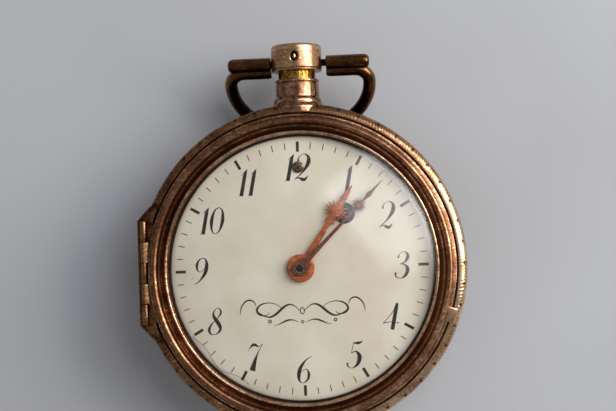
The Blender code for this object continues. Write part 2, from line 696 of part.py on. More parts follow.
def hand_outline(length, boss, stem, star_at, star_inner, star_outer, rays, leaf):
    """Half of a hand's outline from its boss to its tip, then the other half mirrored."""
    start = math.degrees(math.asin(stem / boss))
    side = arc((0, 0), boss, -90, 90 - start, 7)
    star = []
    for k in range(1, rays):
        turn = math.radians(-90 + 180 * k / rays)
        reach = star_outer if k % 2 else star_inner
        star.append((reach * math.cos(turn), star_at + reach * math.sin(turn)))
    tip = [
        (stem * 0.8, star_at + star_inner + 0.3), (leaf[1], leaf[0]), (stem * 0.7, leaf[0] + leaf[1] * 2.5),
        (0.08, length),
    ]
    half = side + [(stem * 0.8, star_at - star_inner - 0.2), *star, *tip]
    mirrored = [(-x, y) for x, y in reversed(half) if x > 1e-6]
    return half + mirrored


def bend(hand, length, drop):
    """Curve a hand down towards the dial, by the square of the way to its tip."""
    for vertex in hand.data.vertices:
        way = vertex.co.xy.length / (length * METRES)
        vertex.co.z -= drop * METRES * way**2


def make_hands():
    """The hour hand on the hour wheel's pipe, and the minute hand on the cannon."""
    hour = flat(
        "hour_hand",
        [hand_outline(HOUR_HAND_LENGTH, BOSS_RADIUS, 0.35, 10.9, 1.2, 2.0, 8, (13.4, 0.5)),
         circle(1.5 + SEAT_GAP)],
        HOUR_HAND_LOW, HOUR_HAND_LOW + HAND_THICKNESS, "rusty_steel",
    )
    bend(hour, HOUR_HAND_LENGTH, HOUR_HAND_DROP)
    hour.rotation_euler = (0, 0, -math.radians(HOUR_ANGLE))
    minute = flat(
        "minute_hand",
        [hand_outline(MINUTE_HAND_LENGTH, 1.7, 0.28, 13.9, 0.7, 1.3, 8, (15.9, 0.4)),
         circle(0.8 + SEAT_GAP)],
        MINUTE_HAND_LOW, MINUTE_HAND_LOW + HAND_THICKNESS, "rusty_steel",
    )
    bend(minute, MINUTE_HAND_LENGTH, MINUTE_HAND_DROP)
    minute.rotation_euler = (0, 0, -math.radians(MINUTE_ANGLE))


def make_motion_work():
    """The wheels between the front plate and the dial that drive the hour hand."""
    low = PLATE_TOP + 0.2
    pipe_low = low + 0.5
    count = 4 * CANNON_LEAVES
    bore_top = MINUTE_HAND_LOW + HAND_THICKNESS + 0.3
    leaves = leaves_outline(CANNON_LEAVES, MOTION_MODULE)
    sections = [
        (low, leaves), (low + 0.35, leaves), (low + 0.35, circle(1.0, count)),
        (MINUTE_HAND_LOW - 0.15, circle(1.0, count)), (MINUTE_HAND_LOW - 0.15, circle(0.8, count)),
        (bore_top, circle(0.8, count)),
    ]
    cannon = stacked("cannon_pinion", sections, "steel", turn=(0, 0, -math.pi / 2))
    cut(cannon, rod("cannon_bore", 0.56, low - 1, bore_top + 1, "steel"))

    teeth = teeth_outline(MINUTE_TEETH, MOTION_MODULE, facing=90)
    flat(
        "minute_wheel", [teeth, *windows(1.2, 2.3, 4, 0.5, 4), circle(0.35, 8)],
        low + 0.05, low + 0.3, "brass", (*MINUTE_POST, 0),
    )
    leaves = leaves_outline(MINUTE_LEAVES, MOTION_MODULE, facing=90)
    flat(
        "minute_pinion", [leaves, circle(0.35, 8)],
        low + 0.3 + SEAT_GAP, low + 0.8, "steel", (*MINUTE_POST, 0),
    )
    hour = flat(
        "hour_wheel", [teeth_outline(HOUR_TEETH, MOTION_MODULE, facing=-90), circle(1.1, 12)],
        pipe_low, pipe_low + 0.25, "brass",
    )
    pipe = [
        (1.1, pipe_low + 0.1), (1.5, pipe_low + 0.1), (1.5, HOUR_HAND_LOW + HAND_THICKNESS + 0.1),
        (1.1, HOUR_HAND_LOW + HAND_THICKNESS + 0.1),
    ]
    join(hour, turned("hour_pipe", pipe, "brass", count=12))
    rod("minute_post", 0.29, PLATE_TOP + SEAT_GAP, low + 1.0, "steel", (*MINUTE_POST, 0))


def make_plates():
    """The two plates with their pivot holes, the pillars and the latch at 6 o'clock."""
    holes = [circle(0.75, 12), circle(0.86, 12, FUSEE), circle(0.85, 12, BARREL)]
    holes += [circle(PIVOT_HOLE, PIVOT_ROUND, spot) for spot in (THIRD, CONTRATE)]
    dial_side = [circle(0.5, 8, DIAL_SCREW), circle(0.45, 8, (0, -LATCH_SCREW_AT))]
    edge = circle(DIAL_RADIUS, BIG_ROUND)
    flat("front_plate", [edge, *holes, *dial_side], PLATE_LOW, PLATE_TOP, "gilt")

    holes = [circle(PIVOT_HOLE, PIVOT_ROUND, spot) for spot in ((0, 0), THIRD, CONTRATE)]
    holes += [circle(0.46, PIVOT_ROUND, FUSEE), circle(0.85, 12, BARREL), circle(0.45, 8, VERGE)]
    holes.append(circle(0.45, 8, cock_point(0.0, 7.5)))
    flat(
        "back_plate", [circle(BACK_PLATE_RADIUS, 36), *holes], BACK_PLATE_LOW, BACK_PLATE_TOP, "gilt"
    )
    low, high = BACK_PLATE_TOP + SEAT_GAP, PLATE_LOW - SEAT_GAP
    middle, bulge = (low + high) / 2, PILLAR_RADIUS
    profile = [
        (0, low), (bulge, low), (bulge, low + 0.5), (bulge * 0.6, low + 0.9), (bulge * 0.9, middle),
        (bulge * 0.6, high - 0.9), (bulge, high - 0.5), (bulge, high), (0, high),
    ]
    for k, angle in enumerate(PILLAR_ANGLES, 1):
        turned(f"pillar_{k}", profile, "gilt", (*around(angle, BACK_PLATE_RADIUS - 2.0), 0), count=10)

    tip = SIGHT_RADIUS - 0.5
    half = [(1.2, -tip + 5.6), (1.2, -tip + 0.3), (0.9, -tip)]
    bolt = [(-x, y) for x, y in half] + half[::-1]
    slot = [
        *arc((0, -LATCH_SCREW_AT + 1.05), 0.5, 0, 180, 5), *arc((0, -LATCH_SCREW_AT - 0.05), 0.5, 180, 360, 5)
    ]
    high = PLATE_LOW - 0.1
    flat("latch_bolt", [bolt, slot], high - 0.7, high, "steel")
    profile = [
        (0, high - 1.0), (0.85, high - 1.0), (0.85, high - 0.75), (0.4, high - 0.75),
        (0.4, PLATE_TOP - 0.1), (0, PLATE_TOP - 0.1),
    ]
    turned("latch_screw", profile, "steel", (0, -LATCH_SCREW_AT, 0), count=10)



def make_movement_hinge():
    """The hinge at 12 o'clock that the movement swings up on."""
    y, z, r = MOVEMENT_HINGE_Y, MOVEMENT_HINGE_Z, MOVEMENT_KNUCKLE
    bore = 0.2 + RUN_GAP
    lug = block("movement_hinge_lug", (-3.1, y + r + 0.1, z - 0.6), (3.1, y + 1.7, z + r - 0.02), "rose_gold")
    for side, name in ((-1, "left"), (1, "right")):
        low, high = sorted((side * 1.1, side * 3.1))
        knuckle = rod(f"lug_knuckle_{name}", r, low, high, "rose_gold", (0, y, z), ALONG_X, 12)
        arm = block(f"lug_arm_{name}", (low, y, z - 0.3), (high, y + r + 0.3, z + 0.3), "rose_gold")
        join(lug, knuckle)
        join(lug, arm)
    cut(lug, rod("lug_bore", bore, -4, 4, "steel", (0, y, z), ALONG_X))
    knuckle = rod("movement_hinge_knuckle", r, -1.0, 1.0, "gilt", (0, y, z), ALONG_X, 12)
    leaf = block("knuckle_leaf", (-1.0, DIAL_RADIUS + SEAT_GAP, z - 0.4), (1.0, y, z + 0.2), "gilt")
    join(knuckle, leaf)
    cut(knuckle, rod("knuckle_bore", bore, -4, 4, "steel", (0, y, z), ALONG_X))
    rod("movement_hinge_pin", 0.2, -3.0, 3.0, "steel", (0, y, z), ALONG_X)


def arbor(name, leaves, module, leaf_low, leaf_high, low, high, spot, facing, radius=0.35):
    """An arbor with a pivot at each end and its pinion's leaves."""
    count = 4 * leaves
    teeth = leaves_outline(leaves, module)
    sections = [
        (low, circle(PIVOT_RADIUS, count)), (low + 0.75, circle(PIVOT_RADIUS, count)),
        (low + 0.75, circle(radius, count)), (leaf_low, circle(radius, count)), (leaf_low, teeth),
        (leaf_high, teeth), (leaf_high, circle(radius, count)), (high - 1.0, circle(radius, count)),
        (high - 1.0, circle(PIVOT_RADIUS, count)), (high, circle(PIVOT_RADIUS, count)),
    ]
    return stacked(name, sections, "steel", (*spot, 0), (0, 0, math.radians(facing)))


def make_train():
    """The train from the great wheel to the crown wheel."""
    low, high = BACK_PLATE_LOW - 0.02, PLATE_TOP - 0.02
    to_contrate = math.degrees(math.atan2(CONTRATE[1] - THIRD[1], CONTRATE[0] - THIRD[0]))
    count = 4 * CENTRE_LEAVES
    teeth = leaves_outline(CENTRE_LEAVES, GREAT_MODULE)
    leaf_low = GREAT_LOW - 0.15
    sections = [
        (low, circle(PIVOT_RADIUS, count)), (BACK_PLATE_TOP + 0.1, circle(PIVOT_RADIUS, count)),
        (BACK_PLATE_TOP + 0.1, circle(0.5, count)), (leaf_low, circle(0.5, count)), (leaf_low, teeth),
        (leaf_low + 0.8, teeth), (leaf_low + 0.8, circle(0.5, count)),
        (MINUTE_HAND_LOW + HAND_THICKNESS + 0.2, circle(0.5, count)),
    ]
    stacked("centre_pinion", sections, "steel", turn=(0, 0, math.radians(90 - FUSEE_ANGLE)))
    flat(
        "centre_wheel",
        [teeth_outline(CENTRE_TEETH, CENTRE_MODULE, facing=90 - THIRD_ANGLE), *windows(1.5, 5.6, 4, 0.8, 5),
         circle(0.5 + SEAT_GAP, 12)],
        CENTRE_WHEEL_LOW, CENTRE_WHEEL_LOW + 0.3, "brass",
    )
    flat(
        "great_wheel",
        [teeth_outline(GREAT_TEETH, GREAT_MODULE, facing=270 - FUSEE_ANGLE), circle(0.8 + RUN_GAP, 12)],
        GREAT_LOW, GREAT_LOW + 0.5, "brass", (*FUSEE, 0),
    )
    arbor("third_pinion", THIRD_LEAVES, CENTRE_MODULE, CENTRE_WHEEL_LOW - 0.1, CENTRE_WHEEL_LOW + 0.4,
          low, high, THIRD, 270 - THIRD_ANGLE)
    flat(
        "third_wheel",
        [teeth_outline(THIRD_TEETH, THIRD_MODULE, facing=to_contrate), *windows(1.0, 3.9, 4, 0.6, 5),
         circle(0.35 + SEAT_GAP, 12)],
        THIRD_WHEEL_LOW, THIRD_WHEEL_LOW + 0.35, "brass", (*THIRD, 0),
    )
    arbor("contrate_pinion", CONTRATE_LEAVES, THIRD_MODULE, THIRD_WHEEL_LOW - 0.1, THIRD_WHEEL_LOW + 0.5,
          low, high, CONTRATE, to_contrate + 180)
    make_contrate_wheel()
    make_crown_wheel()


def make_contrate_wheel():
    """A disc with a rim whose teeth stand up along the axis."""
    low, rim = CONTRATE_LOW, 0.4
    top = CROWN_AXIS_Z - crown_pitch() + 0.05
    shape = bmesh.new()
    sides = 2 * CONTRATE_TEETH
    bore = 0.35 + SEAT_GAP
    root, floor = top - 0.3, low + 0.3

    def ring(radius, height):
        return [shape.verts.new((x, y, height)) for x, y in circle(radius, sides)]

    def crest(radius):
        spots = circle(radius, sides)
        return [shape.verts.new((x, y, top if k % 2 else root)) for k, (x, y) in enumerate(spots)]

    rings = [ring(bore, floor), crest(CONTRATE_RADIUS - rim), crest(CONTRATE_RADIUS), ring(bore, low)]
    for inner, outer in zip(rings, rings[1:] + rings[:1]):
        for k in range(sides):
            after = (k + 1) % sides
            shape.faces.new((inner[k], inner[after], outer[after], outer[k]))
    make_object("contrate_wheel", shape, "brass", (*CONTRATE, 0))


def crown_pitch():
    """Pitch radius of the crown wheel's pinion, set by the contrate wheel's teeth."""
    return (CONTRATE_RADIUS - 0.2) * CROWN_LEAVES / CONTRATE_TEETH


def make_crown_wheel():
    """The crown wheel: a cup with slanting teeth that faces the verge, and its pinion's arbor."""
    axis = (0, CROWN_AXIS_Y, CROWN_AXIS_Z)
    face = VERGE_X + 1.05
    depth, wall = 1.2, 0.3
    sides = 2 * CROWN_TEETH
    shape = bmesh.new()

    def ring(radius, height):
        return [shape.verts.new((x, y, height)) for x, y in circle(radius, sides)]

    def crest(radius):
        spots = circle(radius, sides)
        return [shape.verts.new((x, y, face + (0.6 if k % 2 else 0.0))) for k, (x, y) in enumerate(spots)]

    back, floor, hub = face + depth, face + depth - 0.3, 0.35
    end = pinion_end()
    pinion_low, pinion_high = end - 0.75, end - 0.1
    pitch_radius = crown_pitch()
    rings = [
        ring(PIVOT_RADIUS, face + 0.1), ring(PIVOT_RADIUS, floor - 0.35), ring(hub, floor - 0.35),
        ring(hub, floor), ring(CROWN_RADIUS - wall, floor), crest(CROWN_RADIUS - wall), crest(CROWN_RADIUS),
        ring(CROWN_RADIUS, back), ring(0.3, back), ring(0.3, end), ring(PIVOT_RADIUS, end),
        ring(PIVOT_RADIUS, end + 0.85),
    ]
    shape.faces.new(list(reversed(rings[0])))
    for inner, outer in zip(rings, rings[1:]):
        for k in range(sides):
            after = (k + 1) % sides
            shape.faces.new((inner[k], inner[after], outer[after], outer[k]))
    shape.faces.new(rings[-1])
    crown = make_object("crown_wheel", shape, "brass", axis, ALONG_X)
    leaves = leaves_outline(CROWN_LEAVES, 2 * pitch_radius / CROWN_LEAVES, tip=0.35, root=0.9)
    join(crown, flat("crown_pinion", [leaves], pinion_low, pinion_high, "brass", axis, ALONG_X))


def pinion_end():
    """Where the crown wheel's pinion ends, just inside the contrate wheel's rim."""
    return CONTRATE[0] - CONTRATE_RADIUS + 0.55


def make_power():
    """The barrel with its mainspring, the fusee and the chain between them."""
    low, top = BARREL_LOW, BARREL_TOP
    bore = 0.8 + RUN_GAP
    outer = BARREL_RADIUS
    drum = [
        (bore, low), (outer, low), (outer, top), (outer - 0.4, top), (outer - 0.4, top - 0.55),
        (outer - 0.6, top - 0.55), (outer - 0.6, low + 0.4), (bore, low + 0.4),
    ]
    turned("barrel_drum", drum, "gilt", (*BARREL, 0), count=24)
    lid = [
        (bore, top - 0.5), (outer - 0.4 - SEAT_GAP, top - 0.5), (outer - 0.4 - SEAT_GAP, top - 0.05),
        (bore, top - 0.05),
    ]
    turned("barrel_cap", lid, "gilt", (*BARREL, 0), count=24)
    rod("barrel_arbor", 0.8, BACK_PLATE_LOW - 0.3, PLATE_TOP - 0.02, "steel", (*BARREL, 0), count=12)
    spiral("mainspring", 1.2, outer - 1.0, 4, 0.25, low + 0.6, top - 0.75, "blued_steel", BARREL)

    cone_low, cone_high = GREAT_LOW - 0.1 - FUSEE_HEIGHT, GREAT_LOW - 0.1
    step = FUSEE_HEIGHT / FUSEE_TURNS
    count = 16
    sections = [
        (BACK_PLATE_LOW - 0.02, circle(0.4, count)), (BACK_PLATE_TOP + 0.1, circle(0.4, count)),
        (BACK_PLATE_TOP + 0.1, circle(0.8, count)), (cone_low, circle(0.8, count)),
    ]
    for k in range(FUSEE_TURNS):
        radius = fusee_radius(k)
        low_at, high_at = cone_low + k * step, cone_low + (k + 1) * step
        sections += [(low_at, circle(radius, count)), (high_at, circle(radius, count))]
    sections += [
        (cone_high, circle(0.8, count)), (PLATE_TOP - 0.02, circle(0.8, count)),
        (PLATE_TOP - 0.02, square(1.1, count)), (PLATE_TOP + 1.5, square(1.1, count)),
    ]
    stacked("fusee", sections, "gilt", (*FUSEE, 0))
    make_chain(fusee_radius(FUSEE_TURNS - 1))


def fusee_radius(turn):
    """The fusee's radius at one of its turns, counted from the small end."""
    return FUSEE_SMALL + (FUSEE_LARGE - FUSEE_SMALL) * turn / (FUSEE_TURNS - 1)


def spiral(name, inner, outer, turns, thickness, low, high, finish, spot, per_turn=14):
    """A ribbon wound in a flat spiral."""
    count = turns * per_turn
    inside, outside = [], []
    for k in range(count + 1):
        turn = math.tau * k / per_turn
        radius = inner + (outer - inner) * k / count
        way = math.cos(turn), math.sin(turn)
        inside.append(((radius - thickness / 2) * way[0], (radius - thickness / 2) * way[1]))
        outside.append(((radius + thickness / 2) * way[0], (radius + thickness / 2) * way[1]))
    return flat(name, [inside + outside[::-1]], low, high, finish, (*spot, 0))


def make_chain(fusee_at):
    """The chain: once around the barrel, straight across and around the fusee's large end."""
    thick = 0.3
    first = BARREL_RADIUS + SEAT_GAP + thick / 2
    second = fusee_at + RUN_GAP + thick / 2
    way = Vector((FUSEE[0] - BARREL[0], FUSEE[1] - BARREL[1]))
    line = math.degrees(math.atan2(way.y, way.x))
    lean = math.degrees(math.asin((first - second) / way.length))
    leave = line + 90 - lean
    sides = []
    for offset in (-thick / 2, thick / 2):
        near = arc(BARREL, first + offset, leave + 300, leave, 26)
        far = arc(FUSEE, second + offset, leave, leave - 160, 14)
        sides.append(near + far)
    flat("fusee_chain", [sides[0] + sides[1][::-1]], CHAIN_LOW, CHAIN_LOW + 0.35, "steel")


def cock_point(across, out):
    """A place on the cock: across it, and out from the verge away from the dial's axis."""
    way = Vector(VERGE).normalized()
    return VERGE[0] + way.x * out - way.y * across, VERGE[1] + way.y * out + way.x * across


def make_escapement():
    """Verge, balance, hairspring, cock, potences and regulator."""
    spot = (*VERGE, 0)
    reach = 0.85
    inset = CROWN_RADIUS - 0.15
    pallets = (("low", CROWN_AXIS_Z - inset, 50), ("high", CROWN_AXIS_Z + inset, -50))
    staff = turned(
        "verge_staff",
        [(0, COCK_LOW + 0.35), (0.15, COCK_LOW + 0.35), (0.15, BALANCE_LOW - 0.2), (0.3, BALANCE_LOW - 0.2),
         (0.3, CROWN_AXIS_Z + CROWN_RADIUS + 0.1), (0.15, CROWN_AXIS_Z + CROWN_RADIUS + 0.1),
         (0.15, PLATE_LOW - 0.25), (0, PLATE_LOW - 0.25)],
        "steel", spot, count=PIVOT_ROUND,
    )
    for name, height, angle in pallets:
        pallet = block(f"pallet_{name}", (0, -0.1, height - 0.25), (reach, 0.1, height + 0.25), "steel")
        turn = math.radians(angle)
        pallet.location = Vector(
            (VERGE[0] + reach / 2 * math.cos(turn), VERGE[1] + reach / 2 * math.sin(turn), height)
        ) * METRES
        pallet.rotation_euler = (0, 0, turn)
        join(staff, pallet)
    flat(
        "balance_wheel",
        [circle(BALANCE_RADIUS, 24), *windows(1.0, BALANCE_RADIUS - 0.7, 3, 0.8, 8),
         circle(0.3 + SEAT_GAP, 8)],
        BALANCE_LOW, BALANCE_LOW + 0.5, "brass", spot,
    )
    spring_low = BALANCE_LOW + 0.75
    spiral("hairspring", 0.65, 3.0, 4, 0.1, spring_low, spring_low + 0.25, "blued_steel", VERGE)
    block(
        "hairspring_stud",
        (VERGE[0] + 3.12, VERGE[1] - 0.3, spring_low),
        (VERGE[0] + 3.7, VERGE[1] + 0.3, BACK_PLATE_LOW - SEAT_GAP),
        "steel",
    )
    make_cock()
    make_potences()
    flat(
        "regulator_dial", [circle(2.6, 24), circle(0.3, 8)],
        BACK_PLATE_LOW - SEAT_GAP - 0.25, BACK_PLATE_LOW - SEAT_GAP, "steel", (*REGULATOR, 0),
    )
    high = BACK_PLATE_LOW - SEAT_GAP - 0.35
    half = [(0.45, -0.5), (0.45, 0.4), (0.12, 0.7), (0.06, 2.2)]
    pointer = half + [(-x, y) for x, y in reversed(half)]
    hand = flat("regulator_hand", [pointer], high - 0.2, high, "blued_steel", (*REGULATOR, 0))
    join(hand, rod("regulator_post", 0.22, high - 0.1, BACK_PLATE_LOW - 0.1, "blued_steel", (*REGULATOR, 0)))


def make_cock():
    """The pierced table over the balance, with its foot on the back plate, and its screw."""
    table = BALANCE_RADIUS + 0.4
    turn = math.atan2(VERGE[1], VERGE[0])
    low, high = COCK_LOW, COCK_LOW + 0.6
    cock = flat(
        "balance_cock", [circle(table, 32), *windows(1.6, table - 1.1, 4, 1.6, 5), circle(0.15 + RUN_GAP, 8)],
        low, high, "gilt", (*VERGE, 0), (0, 0, turn),
    )
    reach = BALANCE_RADIUS + 0.5
    foot = block(
        "cock_foot", (reach - 0.6, -2.6, low), (reach + 2.0, 2.6, BACK_PLATE_LOW - SEAT_GAP), "gilt"
    )
    middle = Matrix.Rotation(turn, 3, "Z") @ foot.location
    foot.location = middle + Vector((*VERGE, 0)) * METRES
    foot.rotation_euler = (0, 0, turn)
    join(cock, foot)
    keep = rod("balance_room", BALANCE_RADIUS + 0.3, high, BACK_PLATE_LOW + 1, "steel", (*VERGE, 0), count=32)
    cut(cock, keep)
    spot = (*cock_point(0.0, 7.5), 0)
    cut(cock, rod("cock_screw_hole", 0.45, low - 1, BACK_PLATE_TOP, "steel", spot))
    profile = [
        (0, low - 0.25), (0.9, low - 0.25), (0.9, low - SEAT_GAP), (0.4, low - SEAT_GAP),
        (0.4, BACK_PLATE_TOP - 0.05), (0, BACK_PLATE_TOP - 0.05),
    ]
    turned("cock_screw", profile, "blued_steel", spot, count=10)


def make_potences():
    """The potence under the back plate that holds the verge and the crown wheel, and its mate."""
    x, z = VERGE_X, CROWN_AXIS_Z
    foot_low, top = BACK_PLATE_TOP + SEAT_GAP, PLATE_LOW - 0.1
    back, spine, nose = x - 2.4, x - 1.05, x + 1.45
    outline = [
        (back, foot_low), (spine, foot_low), (spine, z - 0.45), (nose, z - 0.45), (nose, z + 0.45),
        (spine, z + 0.45), (spine, top - 0.3), (x + 0.6, top - 0.3), (x + 0.6, top), (back, top),
    ]
    half = 0.65
    potence = flat("potence", [outline], -half, half, "gilt", (0, CROWN_AXIS_Y, 0), (math.pi / 2, 0, 0))
    cut(potence, rod("staff_room", 0.3 + RUN_GAP, z - 1, z + 1, "steel", (*VERGE, 0)))
    cut(potence, rod("lower_verge_hole", 0.15 + RUN_GAP, top - 0.6, top - 0.1, "steel", (*VERGE, 0)))
    crown_hole = rod(
        "crown_pivot_hole", PIVOT_HOLE, x + 1.0, x + 2.5, "steel", (0, CROWN_AXIS_Y, CROWN_AXIS_Z), ALONG_X
    )
    cut(potence, crown_hole)
    end = pinion_end()
    counter = block(
        "counter_potence",
        (end + 0.12, CROWN_AXIS_Y - 0.5, z - 0.5),
        (end + 0.8, CROWN_AXIS_Y + 0.5, PLATE_LOW - SEAT_GAP),
        "gilt",
    )
    crown_hole = rod(
        "counter_pivot_hole", PIVOT_HOLE, end - 0.5, end + 2, "steel",
        (0, CROWN_AXIS_Y, CROWN_AXIS_Z), ALONG_X,
    )
    cut(counter, crown_hole)


def main():
    """Build the whole watch."""
    clear_scene()
    back, band = make_case()
    make_bezel()
    make_pendant(band, back)
    make_bow()
    make_dial()
    make_hands()
    make_motion_work()
    make_plates()
    make_movement_hinge()
    make_train()
    make_power()
    make_escapement()
    still = [bpy.data.objects[name] for name in CASE_PIECES]
    loose = [o for o in bpy.data.objects if o.type == "MESH" and not o.hide_render and o.parent is None]
    swung = [o for o in loose if o not in still]
    axis_empty("movement_axis", (0, MOVEMENT_HINGE_Y, MOVEMENT_HINGE_Z), swung)


main()
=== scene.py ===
"""An open face pocket watch with a verge movement: its looks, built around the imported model.

Sizes are in millimetres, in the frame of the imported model: Z up through the dial, Y towards the pendant.
"""

import logging
import math
from dataclasses import dataclass, field
from enum import Enum
from typing import Any, Sequence, Union

import bmesh
import bpy
import numpy as np
from mathutils import Matrix, Vector


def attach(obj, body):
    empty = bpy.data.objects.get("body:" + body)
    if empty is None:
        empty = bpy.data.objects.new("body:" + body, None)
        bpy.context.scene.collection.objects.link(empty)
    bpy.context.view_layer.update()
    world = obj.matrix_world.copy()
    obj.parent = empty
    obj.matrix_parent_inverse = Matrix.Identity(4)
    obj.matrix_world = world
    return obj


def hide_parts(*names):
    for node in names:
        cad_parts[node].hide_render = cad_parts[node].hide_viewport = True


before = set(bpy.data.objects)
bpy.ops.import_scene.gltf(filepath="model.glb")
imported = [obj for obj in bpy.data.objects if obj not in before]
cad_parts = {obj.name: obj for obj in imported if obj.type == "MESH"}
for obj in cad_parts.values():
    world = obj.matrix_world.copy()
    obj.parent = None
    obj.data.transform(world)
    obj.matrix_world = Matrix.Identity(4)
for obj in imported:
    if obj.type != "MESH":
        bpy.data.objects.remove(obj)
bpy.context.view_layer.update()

MM = 0.001
MERGE_WITHIN = 1e-7  # metres: points closer than this are one point
SHORTEST_EDGE = 1e-8  # metres: shorter edges are dissolved
LOG = logging.getLogger("pocket_watch")
Array = np.ndarray
Profile = Sequence[tuple[float, float]]


# ---------------------------------------------------------------- colours and nodes


def linear(colour: str) -> tuple[float, float, float, float]:
    """Turn an sRGB hex colour into a linear one.

    Args:
        colour: six hex digits after a hash sign.

    Returns:
        Red, green, blue and alpha for a colour socket.
    """
    shares = [int(colour[i : i + 2], 16) / 255 for i in (1, 3, 5)]
    red, green, blue = (c / 12.92 if c <= 0.04045 else ((c + 0.055) / 1.055) ** 2.4 for c in shares)
    return red, green, blue, 1.0


def add_node(
    tree: bpy.types.NodeTree,
    kind: str,
    links: dict[int | str, Any] | None = None,
    values: dict[int | str, Any] | None = None,
    **settings: Any,
) -> bpy.types.Node:
    """Add one node with its settings, socket values and links.

    Args:
        tree: the node tree that gets it.
        kind: the node's type name.
        links: output sockets by the name or number of the input they feed.
        values: values by the name or number of the input they set.
        settings: the node's own properties.

    Returns:
        The node.
    """
    node = tree.nodes.new(kind)
    for name, value in settings.items():
        setattr(node, name, value)
    for key, value in (values or {}).items():
        node.inputs[key].default_value = value
    for key, socket in (links or {}).items():
        tree.links.new(socket, node.inputs[key])
    return node


def set_stops(node: bpy.types.Node, stops: Sequence[tuple[float, str]]) -> None:
    """Give a colour ramp its stops.

    Args:
        node: a colour ramp node.
        stops: places from 0 to 1 with their hex colours.
    """
    ramp = node.color_ramp
    while len(ramp.elements) < len(stops):
        ramp.elements.new(0.5)
    for element, (place, colour) in zip(ramp.elements, stops):
        element.position = place
        element.color = linear(colour)


def new_material(name: str) -> tuple[bpy.types.Material, bpy.types.NodeTree, bpy.types.Node]:
    """Make an empty material.

    Args:
        name: its name.

    Returns:
        The material, its tree and its output node.
    """
    made = bpy.data.materials.new(name)
    made.use_nodes = True
    made.node_tree.nodes.clear()
    return made, made.node_tree, add_node(made.node_tree, "ShaderNodeOutputMaterial")


# ---------------------------------------------------------------- finishes


class Sheen(Enum):
    """How a metal was finished: lowest and highest roughness, and the depth of its fine bumps in mm."""

    POLISHED = (0.10, 0.30, 0.004)
    HANDLED = (0.17, 0.44, 0.010)
    SATIN = (0.30, 0.50, 0.012)
    CORRODED = (0.55, 0.85, 0.035)


@dataclass(frozen=True)
class Metal:
    """A worn metal. Its tarnish lies in patches and hollows, and its wear shows on edges.

    `patch` and `grain` are the widths in mm of its tarnish and its grain. `wear_share` is how far the vertex
    attribute `wear`, from 0 in a hollow to 1 on a rubbed edge, takes over from them. On the band and the
    bezel that attribute holds painted light as well as wear.
    """

    name: str
    dirt: str
    dark: str
    middle: str
    bright: str
    sheen: Sheen
    patch: float = 3.0
    grain: float = 0.35
    wear_share: float = 0.0
    metallic: float = 1.0
    scratches: float = 0.25
    scratch_length: float = 4.5
    scratch_narrowing: float = 14.0

    def make(self) -> bpy.types.Material:
        """Build its material.

        Returns:
            The material: tarnish, fine grain, hairline scratches and wear drive its colour and roughness.
        """
        made, tree, output = new_material(self.name)
        low, high, depth = self.sheen.value
        place = add_node(tree, "ShaderNodeTexCoord").outputs["Object"]
        patches = add_node(
            tree, "ShaderNodeTexNoise", {"Vector": place},
            {"Scale": 1 / (self.patch * MM), "Detail": 5.0, "Roughness": 0.62},
        )
        grain = add_node(
            tree, "ShaderNodeTexNoise", {"Vector": place},
            {"Scale": 1 / (self.grain * MM), "Detail": 3.0, "Roughness": 0.6},
        )
        turned = add_node(
            tree, "ShaderNodeMapping", {"Vector": place},
            {"Rotation": (0.3, 0.5, 0.7), "Scale": (1.0, self.scratch_narrowing, self.scratch_narrowing)},
        )
        lines = add_node(
            tree, "ShaderNodeTexNoise", {"Vector": turned.outputs[0]},
            {"Scale": 1 / (self.scratch_length * MM), "Detail": 2.0, "Roughness": 0.5},
        )
        mixed = add_node(
            tree, "ShaderNodeMath", {0: patches.outputs["Fac"], 1: grain.outputs["Fac"]}, operation="ADD"
        )
        share = add_node(
            tree, "ShaderNodeMath", {0: mixed.outputs[0]}, {1: 1.55, 2: -1.05},
            operation="MULTIPLY_ADD", use_clamp=True,
        )
        tone = share.outputs[0]
        if self.wear_share:
            wear = add_node(tree, "ShaderNodeAttribute", attribute_name="wear")
            tone = add_node(
                tree, "ShaderNodeMix", {"A": tone, "B": wear.outputs["Fac"]}, {"Factor": self.wear_share}
            ).outputs[0]
        scratch = add_node(
            tree, "ShaderNodeMapRange", {"Value": lines.outputs["Fac"]},
            {"From Min": 0.60, "From Max": 0.72, "To Min": 0.0, "To Max": self.scratches},
        ).outputs[0]
        tone = add_node(
            tree, "ShaderNodeMath", {0: tone, 1: scratch}, operation="ADD", use_clamp=True
        ).outputs[0]
        colour = add_node(tree, "ShaderNodeValToRGB", {"Fac": tone})
        set_stops(colour, [(0.06, self.dirt), (0.30, self.dark), (0.58, self.middle), (0.88, self.bright)])
        rough = add_node(
            tree, "ShaderNodeMapRange", {"Value": tone},
            {"From Min": 0.1, "From Max": 0.8, "To Min": high, "To Max": low},
        )
        bump = add_node(
            tree, "ShaderNodeBump", {"Height": grain.outputs["Fac"]},
            {"Strength": 0.6, "Distance": depth * MM},
        )
        shader = add_node(
            tree,
            "ShaderNodeBsdfPrincipled",
            {"Base Color": colour.outputs[0], "Roughness": rough.outputs[0], "Normal": bump.outputs[0]},
            {"Metallic": self.metallic},
        )
        tree.links.new(shader.outputs[0], output.inputs["Surface"])
        return made


